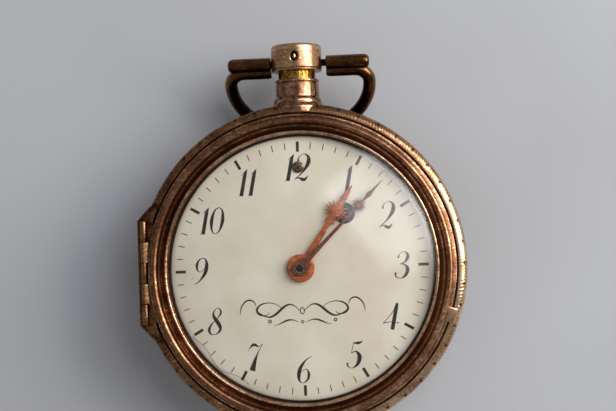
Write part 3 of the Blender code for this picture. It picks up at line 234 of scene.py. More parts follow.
@dataclass(frozen=True)
class FiredEnamel:
    """Cream-white vitreous enamel, fired on copper and polished, with faint clouds and grey specks."""

    name: str = "fired_white_enamel"
    light: str = "#F4F1EB"
    cloud: str = "#E3DCD2"
    speck: str = "#6E6355"
    cloud_width: float = 9.0
    speck_pitch: float = 2.6
    bare_width: float = 6.0
    ripple: float = 0.05

    def make(self) -> bpy.types.Material:
        """Build its material: soft clouds, specks 0.3 mm wide with bare places between, a glassy surface."""
        made, tree, output = new_material(self.name)
        place = add_node(tree, "ShaderNodeTexCoord").outputs["Object"]
        clouds = add_node(
            tree, "ShaderNodeTexNoise", {"Vector": place},
            {"Scale": 1 / (self.cloud_width * MM), "Detail": 3.0},
        )
        colour = add_node(tree, "ShaderNodeValToRGB", {"Fac": clouds.outputs["Fac"]})
        set_stops(colour, [(0.30, self.cloud), (0.66, self.light)])
        dots = add_node(
            tree, "ShaderNodeTexVoronoi", {"Vector": place}, {"Scale": 1 / (self.speck_pitch * MM)}
        )
        speck = add_node(
            tree, "ShaderNodeMapRange", {"Value": dots.outputs["Distance"]},
            {"From Min": 0.035, "From Max": 0.06, "To Min": 0.55, "To Max": 0.0},
        )
        bare = add_node(
            tree, "ShaderNodeTexNoise", {"Vector": place},
            {"Scale": 1 / (self.bare_width * MM), "Detail": 0.0},
        )
        gate = add_node(
            tree, "ShaderNodeMapRange", {"Value": bare.outputs["Fac"]}, {"From Min": 0.60, "From Max": 0.64}
        )
        marks = add_node(
            tree, "ShaderNodeMath", {0: speck.outputs[0], 1: gate.outputs[0]}, operation="MULTIPLY"
        )
        final = add_node(
            tree, "ShaderNodeMix", {0: marks.outputs[0], 6: colour.outputs["Color"]}, {7: linear(self.speck)},
            data_type="RGBA",
        ).outputs[2]
        bump = add_node(
            tree, "ShaderNodeBump", {"Height": clouds.outputs["Fac"]},
            {"Strength": 0.15, "Distance": self.ripple * MM},
        )
        shader = add_node(
            tree,
            "ShaderNodeBsdfPrincipled",
            {"Base Color": final, "Normal": bump.outputs["Normal"]},
            {"Roughness": 0.16, "IOR": 1.5, "Coat Weight": 0.3, "Coat Roughness": 0.06},
        )
        tree.links.new(shader.outputs[0], output.inputs["Surface"])
        return made


@dataclass(frozen=True)
class DialInk:
    """Black enamel paint, brushed and fired on: dense, with thin brownish places where it wore."""

    name: str = "fired_black_enamel_paint"
    dense: str = "#0E0B0A"
    thin: str = "#3A2E28"
    worn_width: float = 0.8

    def make(self) -> bpy.types.Material:
        """Build its material: small worn places in a dense black."""
        made, tree, output = new_material(self.name)
        place = add_node(tree, "ShaderNodeTexCoord").outputs["Object"]
        worn = add_node(
            tree, "ShaderNodeTexNoise", {"Vector": place},
            {"Scale": 1 / (self.worn_width * MM), "Detail": 4.0},
        )
        colour = add_node(tree, "ShaderNodeValToRGB", {"Fac": worn.outputs["Fac"]})
        set_stops(colour, [(0.50, self.dense), (0.75, self.thin)])
        rough = add_node(
            tree, "ShaderNodeMapRange", {"Value": worn.outputs["Fac"]}, {"To Min": 0.25, "To Max": 0.5}
        )
        shader = add_node(
            tree, "ShaderNodeBsdfPrincipled",
            {"Base Color": colour.outputs["Color"], "Roughness": rough.outputs[0]},
        )
        tree.links.new(shader.outputs[0], output.inputs["Surface"])
        return made


@dataclass(frozen=True)
class BlownGlass:
    """A blown and ground watch glass: clear, and it mirrors the room more the flatter it is seen.

    The mirrored share runs from `straight_share` to `flat_share` with the fifth power of its turning away.
    """

    name: str = "blown_watch_glass"
    tint: str = "#FBFAF6"
    straight_share: float = 0.035
    flat_share: float = 0.6
    smear_width: float = 5.0

    def make(self) -> bpy.types.Material:
        """Build its material: a clear pane that mirrors more towards its rim, with faint rub marks."""
        made, tree, output = new_material(self.name)
        place = add_node(tree, "ShaderNodeTexCoord").outputs["Object"]
        smears = add_node(
            tree, "ShaderNodeTexNoise", {"Vector": place},
            {"Scale": 1 / (self.smear_width * MM), "Detail": 3.0},
        )
        rough = add_node(
            tree, "ShaderNodeMapRange", {"Value": smears.outputs["Fac"]},
            {"From Min": 0.35, "From Max": 0.75, "To Min": 0.10, "To Max": 0.20},
        )
        clear = add_node(tree, "ShaderNodeBsdfTransparent", None, {"Color": linear(self.tint)})
        shine = add_node(
            tree, "ShaderNodeBsdfGlossy", {"Roughness": rough.outputs[0]}, {"Color": (1, 1, 1, 1)}
        )
        facing = add_node(tree, "ShaderNodeLayerWeight", None, {"Blend": 0.5}).outputs["Facing"]
        steep = add_node(tree, "ShaderNodeMath", {0: facing}, {1: 5.0}, operation="POWER").outputs[0]
        share = add_node(
            tree, "ShaderNodeMapRange", {"Value": steep},
            {"To Min": self.straight_share, "To Max": self.flat_share},
        )
        pane = add_node(
            tree, "ShaderNodeMixShader", {0: share.outputs[0], 1: clear.outputs[0], 2: shine.outputs[0]}
        )
        tree.links.new(pane.outputs[0], output.inputs["Surface"])
        return made


@dataclass(frozen=True)
class FloorPaint:
    """A plain pale matt sheet, with the least mottling, for the watch to lie on."""

    name: str = "matt_pale_card"
    light: str = "#B8BBBF"
    dull: str = "#B1B3B6"
    cloud_width: float = 60.0

    def make(self) -> bpy.types.Material:
        """Build its material: wide clouds between two close greys."""
        made, tree, output = new_material(self.name)
        place = add_node(tree, "ShaderNodeTexCoord").outputs["Object"]
        clouds = add_node(
            tree, "ShaderNodeTexNoise", {"Vector": place}, {"Scale": 1 / (self.cloud_width * MM)}
        )
        colour = add_node(tree, "ShaderNodeValToRGB", {"Fac": clouds.outputs["Fac"]})
        set_stops(colour, [(0.35, self.dull), (0.65, self.light)])
        shader = add_node(
            tree, "ShaderNodeBsdfPrincipled", {"Base Color": colour.outputs["Color"]}, {"Roughness": 0.75}
        )
        tree.links.new(shader.outputs[0], output.inputs["Surface"])
        return made


Finish = Union[Metal, FiredEnamel, DialInk, BlownGlass, FloorPaint]
DIAL_ENAMEL = FiredEnamel()
DIAL_PAINT = DialInk()
WATCH_GLASS = BlownGlass()

# Rose gold, raised and turned, then carried for two centuries: brown, almost black in its cuts
ENGRAVED_GOLD = Metal(
    "engraved_rose_gold", "#1C0E07", "#5A3A22", "#A27852", "#F4D2AE", Sheen.HANDLED,
    patch=3.0, grain=0.3, wear_share=0.60,
)
# The turned moulding of the bezel: smoother and browner, with rubbed crests
TURNED_GOLD = Metal(
    "turned_rose_gold", "#2A180E", "#68452E", "#986C4D", "#EAC29C", Sheen.HANDLED,
    patch=3.2, grain=0.5, wear_share=0.5,
)
# The pendant's neck, polished by the thumb, so it mirrors the room
POLISHED_GOLD = Metal(
    "polished_rose_gold", "#2A170D", "#6A4630", "#A87C5E", "#EAC6A4", Sheen.POLISHED,
    patch=3.0, grain=0.8, wear_share=0.4,
)
# The push-piece's cap is a paler alloy, matt from handling
CAP_GOLD = Metal(
    "pale_gold_cap", "#2E1F12", "#805E42", "#BA906C", "#E6C6A2", Sheen.HANDLED,
    patch=2.6, grain=0.4, wear_share=0.45,
)
# Drawn brass rod, bright where it slides
STEM_BRASS = Metal(
    "drawn_brass", "#1E0F04", "#5C3812", "#A0702A", "#E2C064", Sheen.POLISHED, patch=2.2, grain=0.3
)
# The bow: cast, almost black, glossy where the pocket rubbed it
BOW_BRONZE = Metal(
    "cast_dark_bronze", "#0B0604", "#2A170C", "#6A482B", "#C69A62", Sheen.POLISHED,
    patch=3.0, grain=0.4, wear_share=0.68,
)
# Rust is matt and powdery: hardly metallic, and rough at 0.16 mm
RUSTY_STEEL = Metal(
    "rusted_steel", "#341106", "#7E340C", "#B85A1A", "#E0903E", Sheen.CORRODED,
    patch=0.9, grain=0.16, metallic=0.1, wear_share=0.3,
)
# The minute hand's rust is older and darker
DARK_RUST = Metal(
    "dark_rusted_steel", "#1A0904", "#431A0A", "#743314", "#A45C2A", Sheen.CORRODED,
    patch=0.8, grain=0.15, metallic=0.2, wear_share=0.3,
)
# Polished steel that has tarnished brown
DIAL_SCREW_STEEL = Metal(
    "tarnished_steel_screw", "#1C120B", "#4A3423", "#7A5D45", "#B09478", Sheen.SATIN, patch=0.7, grain=0.2
)
# Brass under oil and dust, almost black
BLACKENED = Metal(
    "blackened_brass", "#060403", "#120B08", "#241711", "#46322A", Sheen.SATIN, patch=0.8, grain=0.2
)
# Mercury gilding keeps a fine matt grain; the wheels are brass, and the steels are tempered or blued by heat
GILT_BRASS = Metal(
    "fire_gilt_brass", "#5A3A12", "#A87A30", "#D3A852", "#F2D48A", Sheen.SATIN, patch=5.0, grain=0.15
)
CLOCK_BRASS = Metal(
    "lacquered_brass", "#4E3410", "#93691F", "#BF9236", "#E6C56C", Sheen.SATIN, patch=3.0, grain=0.2
)
CLOCK_STEEL = Metal(
    "hardened_steel", "#1E1E20", "#505256", "#85888C", "#BEC1C4", Sheen.SATIN, patch=2.0, grain=0.2
)
BLUE_STEEL = Metal(
    "blued_steel", "#05060C", "#0E1530", "#1F2E66", "#4A62A8", Sheen.SATIN, patch=1.6, grain=0.2
)

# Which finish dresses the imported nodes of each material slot
SLOT_METALS = {
    "rose_gold": TURNED_GOLD,
    "pale_gold": CAP_GOLD,
    "brass": CLOCK_BRASS,
    "gilt_brass": GILT_BRASS,
    "dark_bronze": BOW_BRONZE,
    "steel": CLOCK_STEEL,
    "blued_steel": BLUE_STEEL,
    "rusty_steel": RUSTY_STEEL,
}
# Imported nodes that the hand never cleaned, whatever their slot
NODE_METALS = {
    "movement_hinge_knuckle": BLACKENED,
    "movement_hinge_lug": BLACKENED,
    "movement_hinge_pin": BLACKENED,
    "bow_pin": BOW_BRONZE,
    "bezel_hinge_pin": ENGRAVED_GOLD,
}


@dataclass
class Finishes:
    """Every material, made once when it is first asked for."""

    made: dict[str, bpy.types.Material] = field(default_factory=dict)

    def get(self, finish: Finish) -> bpy.types.Material:
        """Return the material of a finish, and make it the first time."""
        if finish.name not in self.made:
            self.made[finish.name] = finish.make()
        return self.made[finish.name]


FINISHES = Finishes()


# ---------------------------------------------------------------- surfaces


def grid_faces(rows: int, columns: int, loop_rows: bool, loop_columns: bool, start: int = 0) -> Array:
    """Number the corners of every square of a grid of points.

    Args:
        rows: how many rows of points.
        columns: how many points in a row.
        loop_rows: the last row joins the first.
        loop_columns: each row's last point joins its first.
        start: the number of the first point.

    Returns:
        Four point numbers for each face.
    """
    row = np.arange(rows if loop_rows else rows - 1)
    column = np.arange(columns if loop_columns else columns - 1)
    a, b = np.meshgrid(row, column, indexing="ij")
    a2, b2 = (a + 1) % rows, (b + 1) % columns
    corners = np.stack([a * columns + b, a2 * columns + b, a2 * columns + b2, a * columns + b2], axis=-1)
    return corners.reshape(-1, 4) + start


@dataclass
class Surface:
    """Several grids of points that become one mesh."""

    points: list[Array] = field(default_factory=list)
    faces: list[list[int]] = field(default_factory=list)
    wear: list[Array] = field(default_factory=list)
    count: int = 0

    def add(
        self,
        grid: Array,
        loop_rows: bool = False,
        loop_columns: bool = True,
        caps: bool = False,
        wear: Array | float = 0.5,
    ) -> "Surface":
        """Add one grid.

        Args:
            grid: rows by columns by three, in mm.
            loop_rows: the last row joins the first.
            loop_columns: each row closes on itself.
            caps: close the first and last rows with a flat face.
            wear: wear, and on the band and the bezel painted light as well; one value for each point, or one
                for all.

        Returns:
            The surface itself.
        """
        rows, columns = grid.shape[:2]
        self.faces += grid_faces(rows, columns, loop_rows, loop_columns, self.count).tolist()
        if caps:
            first = (np.arange(columns)[::-1] + self.count).tolist()
            last = (np.arange(columns) + self.count + (rows - 1) * columns).tolist()
            self.faces += [first, last]
        self.points.append(grid.reshape(-1, 3))
        self.wear.append(np.broadcast_to(np.asarray(wear, float), (rows, columns)).reshape(-1))
        self.count += rows * columns
        return self

    def make(self, name: str, finish: Finish, sharp: float = 38.0) -> bpy.types.Object:
        """Put the grids into a mesh, close its seams and turn its faces outwards.

        Args:
            name: the piece's name.
            finish: the finish that dresses it.
            sharp: edges that turn by more than this many degrees stay crisp.

        Returns:
            The object, at the origin.
        """
        mesh = bpy.data.meshes.new(name)
        mesh.from_pydata((np.concatenate(self.points) * MM).tolist(), [], self.faces)
        # One value per point: wear, and on the band and the bezel painted light as well
        layer = mesh.attributes.new("wear", "FLOAT", "POINT")
        layer.data.foreach_set("value", np.concatenate(self.wear).astype(np.float32))
        shape = bmesh.new()
        shape.from_mesh(mesh)
        bmesh.ops.remove_doubles(shape, verts=shape.verts, dist=MERGE_WITHIN)
        bmesh.ops.dissolve_degenerate(shape, edges=shape.edges, dist=SHORTEST_EDGE)
        bmesh.ops.recalc_face_normals(shape, faces=shape.faces)
        shape.to_mesh(mesh)
        shape.free()
        mesh.shade_smooth()
        mesh.set_sharp_from_angle(angle=math.radians(sharp))
        mesh.materials.append(FINISHES.get(finish))
        made = bpy.data.objects.new(name, mesh)
        bpy.context.scene.collection.objects.link(made)
        return made

    def place(
        self, name: str, finish: Finish, body: str, slot: str, *nodes: str, sharp: float = 38.0
    ) -> bpy.types.Object:
        """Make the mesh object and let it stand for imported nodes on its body."""
        return stands_for(self.make(name, finish, sharp), body, slot, *nodes)


def softened(profile: Profile, radius: float, steps: int = 4, closed: bool = True) -> Array:
    """Round a line's corners: each becomes a quadratic curve that starts and ends `radius` from it.

    Args:
        profile: the corners.
        radius: how far from a corner its curve starts, at most 0.45 of each side.
        steps: segments in each curve.
        closed: the last corner joins the first.

    Returns:
        The points of the rounded line.
    """
    corner = np.asarray(profile, float)
    before, after = np.roll(corner, 1, 0) - corner, np.roll(corner, -1, 0) - corner
    back, ahead = (np.linalg.norm(side, axis=1, keepdims=True) for side in (before, after))
    reach_back, reach_ahead = np.minimum(radius, 0.45 * back), np.minimum(radius, 0.45 * ahead)
    if not closed:
        reach_back[[0, -1]] = reach_ahead[[0, -1]] = 0
    start = corner + before / back * reach_back
    end = corner + after / ahead * reach_ahead
    t = np.linspace(0, 1, steps + 1)[None, :, None]
    curve = (1 - t) ** 2 * start[:, None] + 2 * t * (1 - t) * corner[:, None] + t**2 * end[:, None]
    if closed:
        return curve.reshape(-1, 2)
    return np.concatenate([corner[:1], curve[1:-1].reshape(-1, 2), corner[-1:]])


def dense(profile: Array, step: float, closed: bool = True) -> Array:
    """Add points along a line so that none are further apart than `step`.

    Args:
        profile: the line's points.
        step: the longest distance in mm.
        closed: the last point joins the first.

    Returns:
        The line with its own points and the added ones.
    """
    line = np.vstack([profile, profile[:1]]) if closed else profile
    length = np.linalg.norm(np.diff(line, axis=0), axis=1)
    parts = np.maximum(1, np.ceil(length / step)).astype(int)
    along = np.concatenate([i + np.arange(n) / n for i, n in enumerate(parts)] + [[len(parts)]])
    number = np.arange(len(line))
    points = np.stack([np.interp(along, number, line[:, k]) for k in range(2)], axis=1)
    return points[:-1] if closed else points


class Axis(Enum):
    """The axes that profiles are turned around."""

    DIAL = "Z"
    PENDANT = "Y"


def spin(profile: Array, count: int, axis: Axis = Axis.DIAL, at: Sequence[float] = (0, 0, 0)) -> Array:
    """Turn a profile around an axis: a point (r, h) goes to r cos t, r sin t across the axis and h along it.

    Args:
        profile: radius and height of each point in mm.
        count: how many steps go round.
        axis: which way the axis points.
        at: where the axis starts.

    Returns:
        The grid, one row for each point of the profile.
    """
    angle = np.linspace(0, 2 * math.pi, count, endpoint=False)
    radius, height = profile[:, :1], profile[:, 1:]
    a, b, h = radius * np.cos(angle), radius * np.sin(angle), height + 0 * angle
    grid = np.stack([a, b, h] if axis is Axis.DIAL else [a, h, -b], axis=-1)
    return grid + np.asarray(at, float)


def crests(profile: Array, reach: int = 3) -> Array:
    """Rate each point of a closed profile by how far it stands out of its neighbours' chord, from 0 to 1.

    Args:
        profile: the points in mm.
        reach: how many points away the neighbours are.

    Returns:
        One share for each point: 0.5 on a straight, and one more for each half millimetre outwards.
    """
    middle = (np.roll(profile, reach, 0) + np.roll(profile, -reach, 0)) / 2
    chord = np.roll(profile, -reach, 0) - np.roll(profile, reach, 0)
    area = np.sum(profile[:, 0] * np.roll(profile[:, 1], -1) - np.roll(profile[:, 0], -1) * profile[:, 1])
    normal = np.stack([chord[:, 1], -chord[:, 0]], 1) * np.sign(area)
    normal /= np.linalg.norm(normal, axis=1, keepdims=True) + 1e-9
    stands = np.sum((profile - middle) * normal, axis=1)
    return np.clip(0.5 + 2 * stands, 0, 1)


def sweep(path: Array, radius: Array, count: int = 24, up: Sequence[float] = (0, 0, 1)) -> Array:
    """Carry a circle along a path: at each point the circle lies across the path's direction.

    Args:
        path: places in mm, one row each.
        radius: the circle's radius at each place.
        count: how many points go round.
        up: a direction that never lies along the path.

    Returns:
        The grid, one row for each place.
    """
    along = np.gradient(path, axis=0)
    along /= np.linalg.norm(along, axis=1, keepdims=True)
    side = np.cross(along, np.asarray(up, float))
    side /= np.linalg.norm(side, axis=1, keepdims=True)
    over = np.cross(side, along)
    angle = np.linspace(0, 2 * math.pi, count, endpoint=False)[None, :, None]
    ring = np.cos(angle) * side[:, None] + np.sin(angle) * over[:, None]
    return path[:, None] + ring * np.reshape(radius, (-1, 1, 1))


def stands_for(made: bpy.types.Object, body: str, slot: str, *nodes: str) -> bpy.types.Object:
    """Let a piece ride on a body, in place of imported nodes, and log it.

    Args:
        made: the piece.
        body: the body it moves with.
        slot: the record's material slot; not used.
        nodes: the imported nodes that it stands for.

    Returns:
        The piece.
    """
    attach(made, body)
    if nodes:
        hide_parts(*nodes)
    LOG.info("%s rides on %s", made.name, body)
    return made


def cut_out(made: bpy.types.Object, cutter: bpy.types.Object) -> None:
    """Take a cutter's shape out of a piece with an exact boolean, then remove the cutter.

    Args:
        made: the piece.
        cutter: a closed shape.
    """
    difference = made.modifiers.new("cut", "BOOLEAN")
    difference.object, difference.operation, difference.solver = cutter, "DIFFERENCE", "EXACT"
    view = bpy.context.evaluated_depsgraph_get()
    mesh = bpy.data.meshes.new_from_object(made.evaluated_get(view))
    made.modifiers.clear()
    made.data = mesh
    bpy.data.objects.remove(cutter)


# How many steps go round the case and the glass, a pendant piece, a hole or a boss, a small piece, and a pin
WIDE_STEPS = 192
PENDANT_STEPS = 96
HOLE_STEPS = 64
SMALL_STEPS = 48
PIN_STEPS = 32

# ---------------------------------------------------------------- the case


@dataclass
class Case:
    """The bowl and the band that hold the movement, with the engraved edge and the hinge at 9 o'clock.

    The hinge's trough reaches `hinge_half` to each side of 9 o'clock, the blocks at its ends reach
    `hinge_end`, and the gap beyond them reaches `hinge_gap`.
    """

    radius: float = 27.0
    wall: float = 0.8
    bowl_height: float = 9.4
    flat: float = 7.0
    band_foot: float = 9.45
    band_step: float = 10.1
    band_shoulder: float = 11.3
    depth: float = 12.3
    edge_width: float = 1.4
    edge_rise: float = 1.2
    seat: float = 22.0
    seat_depth: float = 0.8
    hinge_half: float = 8.6
    hinge_end: float = 11.1
    hinge_gap: float = 11.55
    hinge_base: float = 10.2
    hinge_x: float = -26.0
    hinge_rise: float = 0.65
    lip: float = 0.35
    lip_rise: float = 0.65
    knuckle: float = 0.6
    knuckle_play: float = 0.05
    hatch_pitch: float = 0.55
    hatch_depth: float = 0.022
    dot_count: int = 48
    dot_depth: float = 0.12
    dot_width: float = 0.17
    directions: int = 2000
    edge_start: int = 5
    edge_points: int = 13

    def bowl(self) -> None:
        """Build the back: quarter ellipses from the flat to the rim, outside and inside, turned around Z."""
        t = np.linspace(0, math.pi / 2, 40)
        outer = np.stack(
            [self.flat + (self.radius - self.flat) * np.sin(t), self.bowl_height * (1 - np.cos(t))], axis=1
        )
        inner = np.stack(
            [self.flat - 0.2 + (self.radius - self.wall - self.flat + 0.2) * np.sin(t),
             self.wall + (self.bowl_height - self.wall) * (1 - np.cos(t))], axis=1,
        )
        profile = np.concatenate([[[0, 0]], outer, inner[::-1], [[0, self.wall]]])
        surface = Surface().add(spin(profile, WIDE_STEPS), wear=0.42)
        surface.place("case_back_bowl", ENGRAVED_GOLD, "case", "rose_gold", "case_back")

    def edge_radius(self, angle: Array) -> Array:
        """Give the band's outer radius at angles from 9 o'clock: flat, then sloping, then the circle."""
        flat_end = math.atan2(self.hinge_half, self.radius)
        block_end = math.asin(self.hinge_end / self.radius)
        flat = self.radius / np.cos(np.minimum(np.abs(angle), flat_end))
        corner = self.radius / math.cos(flat_end)
        slope = np.interp(np.abs(angle), [flat_end, block_end], [corner, self.radius])
        return np.where(np.abs(angle) <= flat_end, flat, slope)

    def band(self) -> None:
        """Build the band: one closed profile for each of many directions.

        Away from the hinge the profile ends in a quarter ellipse, cut with slanted lines, whose depth is a
        sine of the angle and the way up the edge, and with small punched dots. At the hinge it is a box with
        a lip, a groove, and a block at each end, and its face moves out to the flat outline there.
        """
        angle = np.linspace(-math.pi, math.pi, self.directions, endpoint=False)
        t = np.linspace(0, math.pi / 2, self.edge_points)
        edge = slice(self.edge_start, self.edge_start + self.edge_points)
        out, inner, top, base = self.radius, self.radius - self.edge_width, self.depth, self.hinge_base
        foot = [(out - self.wall, self.band_foot), (out, self.band_foot), (out, self.band_step)]
        seat_low = top - self.seat_depth
        seat = [(inner, top), (inner - 0.2, top), (self.seat, top), (self.seat, seat_low),
                (out - self.wall, seat_low)]
        ellipse = np.stack([inner + self.edge_width * np.cos(t), top + self.edge_rise * np.sin(t)], 1)
        plain = np.array([*foot, (out, 10.3), (out, self.band_shoulder), *ellipse, (inner, 13.1), *seat])
        lip_top, lip_in = top + self.lip_rise, out - self.lip
        lip = [(out, base), (out, self.band_shoulder),
               (out, lip_top), (out - 0.05, lip_top + 0.06), (lip_in, lip_top + 0.06)]
        groove = [(x, top + 0.06) for x in np.linspace(lip_in - 0.1, inner - 0.05, 9)]
        trough = np.array(
            [*foot, *lip, (lip_in - 0.02, top + 0.1), *groove, (inner - 0.06, top + 0.03), *seat]
        )
        crack = [(lip_in - 0.05, lip_top - 0.2), (lip_in - 0.12, lip_top - 0.2), (lip_in - 0.16, 13.2)]
        block_top = [(x, 13.38) for x in np.linspace(lip_in - 0.3, inner + 0.1, 6)]
        block = np.array([*foot, *lip, *crack, *block_top, (inner + 0.02, 13.2), (inner, 12.6), *seat])
        gap = trough.copy()
        gap[5:9, 1] = top + 0.1
        turned = np.arctan2(np.sin(angle - math.pi), np.cos(angle - math.pi))  # 0 at 9 o'clock
        across = np.where(np.cos(turned) > 0, np.abs(np.sin(turned)) * out, np.inf)
        in_trough = (across < self.hinge_half)[:, None]
        in_block = ((across >= self.hinge_half) & (across < self.hinge_end))[:, None]
        in_gap = ((across >= self.hinge_end) & (across < self.hinge_gap))[:, None]
        grid, share = plain, 0.0
        for zone, shape, follows in ((in_gap, gap, 0.0), (in_block, block, self.follow_share(block)),
                                     (in_trough, trough, self.follow_share(trough))):
            grid = np.where(zone[..., None], shape, grid)
            share = np.where(zone, follows, share)
        push = (self.edge_radius(turned) - out)[:, None] * share
        cut, wear = self.engraving(angle, across >= self.hinge_gap + 0.3, edge, len(plain))
        slope = np.zeros(len(plain))
        slope[edge] = t
        radius = grid[..., 0] + push - cut * np.cos(slope)[None]
        height = grid[..., 1] - cut * np.sin(slope)[None]
        points = np.stack([radius * np.cos(angle)[:, None], radius * np.sin(angle)[:, None], height], axis=-1)
        surface = Surface().add(points, loop_rows=True, wear=wear)
        surface.place("engraved_band", ENGRAVED_GOLD, "case", "rose_gold", "case_band", sharp=50)

    def follow_share(self, profile: Array) -> Array:
        """Give how far each profile point moves with the outline: fully at the face, less further in."""
        share = np.clip((profile[:, 0] - (self.radius - self.edge_width)) / 0.9, 0, 1)
        share[:3] = share[-5:] = 0
        return share

    def engraving(self, angle: Array, is_plain: Array, edge: slice, size: int) -> tuple[Array, Array]:
        """Work out how deep the engraver's tool went, and how worn each place is, with painted light on top:
        the band is brighter towards half past three.

        Args:
            angle: the directions.
            is_plain: where the engraved edge runs.
            edge: which points of the profile are the edge's.
            size: points in the profile.

        Returns:
            The depth in mm and the wear with painted light, each directions by profile points.
        """
        up = np.zeros(size)
        up[edge] = np.linspace(0, 1, self.edge_points)
        lines = 2 * math.pi * self.radius / self.hatch_pitch
        sway = 1.4 * np.sin(9 * angle)[:, None] + 0.8 * np.sin(23 * angle + 1.0)[:, None]
        sway = sway + 0.9 * np.sin(41 * angle[:, None] + 5.0 * up[None])
        wave = np.sin(round(lines) * angle[:, None] + 11.0 * up[None] + sway)
        flow = 0.55 + 0.25 * np.sin(31 * angle + 0.6)[:, None] + 0.2 * np.sin(53 * angle + 2.1)[:, None]
        window = np.sin(math.pi * np.clip(up, 0.06, 0.94)) ** 0.6
        window[: edge.start] = window[edge.stop :] = 0
        cut = self.hatch_depth * np.clip(wave, -0.35, 1.0) * flow * window[None]
        step = 2 * math.pi / self.dot_count
        off = (angle / step - np.round(angle / step)) * step * self.radius
        dot = np.exp(-((off[:, None] / self.dot_width) ** 2 + ((up[None] - 0.50) / 0.10) ** 2))
        dot = dot * (window > 0)[None]
        cut = np.where(is_plain[:, None], cut + self.dot_depth * dot, 0)
        # Wear with painted light: the cosine makes the band brighter towards half past three, where the light
        # falls
        rubbed_and_lit = 0.56 + 0.28 * np.cos(angle + 0.35)[:, None] + 0.06 * np.sin(17 * angle)[:, None]
        rubbed_and_lit = np.where(is_plain[:, None], rubbed_and_lit, 0.62 * rubbed_and_lit)
        wear = rubbed_and_lit * np.where(up > 0, 1.0, 0.8)[None] - 9.0 * np.clip(cut, -0.02, 0.03) - dot
        shade = np.ones(size)
        shade[-6:] = 0.1
        return cut, np.clip(wear * shade[None], 0, 1)

    def knuckles(self, body: str, slots: Sequence[int], name: str) -> None:
        """Build hinge knuckles: a round tube with a web, carried along Y.

        Args:
            body: the body they ride on.
            slots: which fifths of the hinge they fill.
            name: the piece's name.
        """
        fifth = (2 * self.hinge_half - 2 * self.knuckle_play) / 5
        axis_x, axis_z = self.hinge_x, self.depth + self.hinge_rise
        turn = np.linspace(0, math.pi, 13)
        if body == "case":
            ring = [(axis_x + self.knuckle * math.cos(a), axis_z + self.knuckle * math.sin(a)) for a in turn]
            ring += [(axis_x - self.knuckle, self.depth + 0.02), (axis_x + self.knuckle, self.depth + 0.02)]
        else:
            ring = [(axis_x - self.knuckle * math.sin(a), axis_z + self.knuckle * math.cos(a)) for a in turn]
            ring += [(-25.1, self.depth + 0.12), (-25.1, axis_z + 0.28)]
        section = softened(ring, 0.06, 2)
        surface = Surface()
        for k in slots:
            low = -self.hinge_half + self.knuckle_play + k * fifth
            along = np.array([0.04, 0.09, 0.5 * fifth, fifth - 0.09, fifth - 0.04]) + low
            shrink = np.array([0.92, 1, 1, 1, 0.92])[:, None, None]
            flat = section.mean(0) + (section[None] - section.mean(0)) * shrink
            grid = np.stack([flat[..., 0], along[:, None] + 0 * flat[..., 0], flat[..., 1]], axis=-1)
            surface.add(grid, caps=True, wear=0.46)
        surface.place(name, ENGRAVED_GOLD, body, "rose_gold")

    def build(self) -> None:
        """Build the bowl, the band and the case's knuckles."""
        self.bowl()
        self.band()
        self.knuckles("case", (0, 2, 4), "case_knuckles")


# ---------------------------------------------------------------- the bezel and the glass


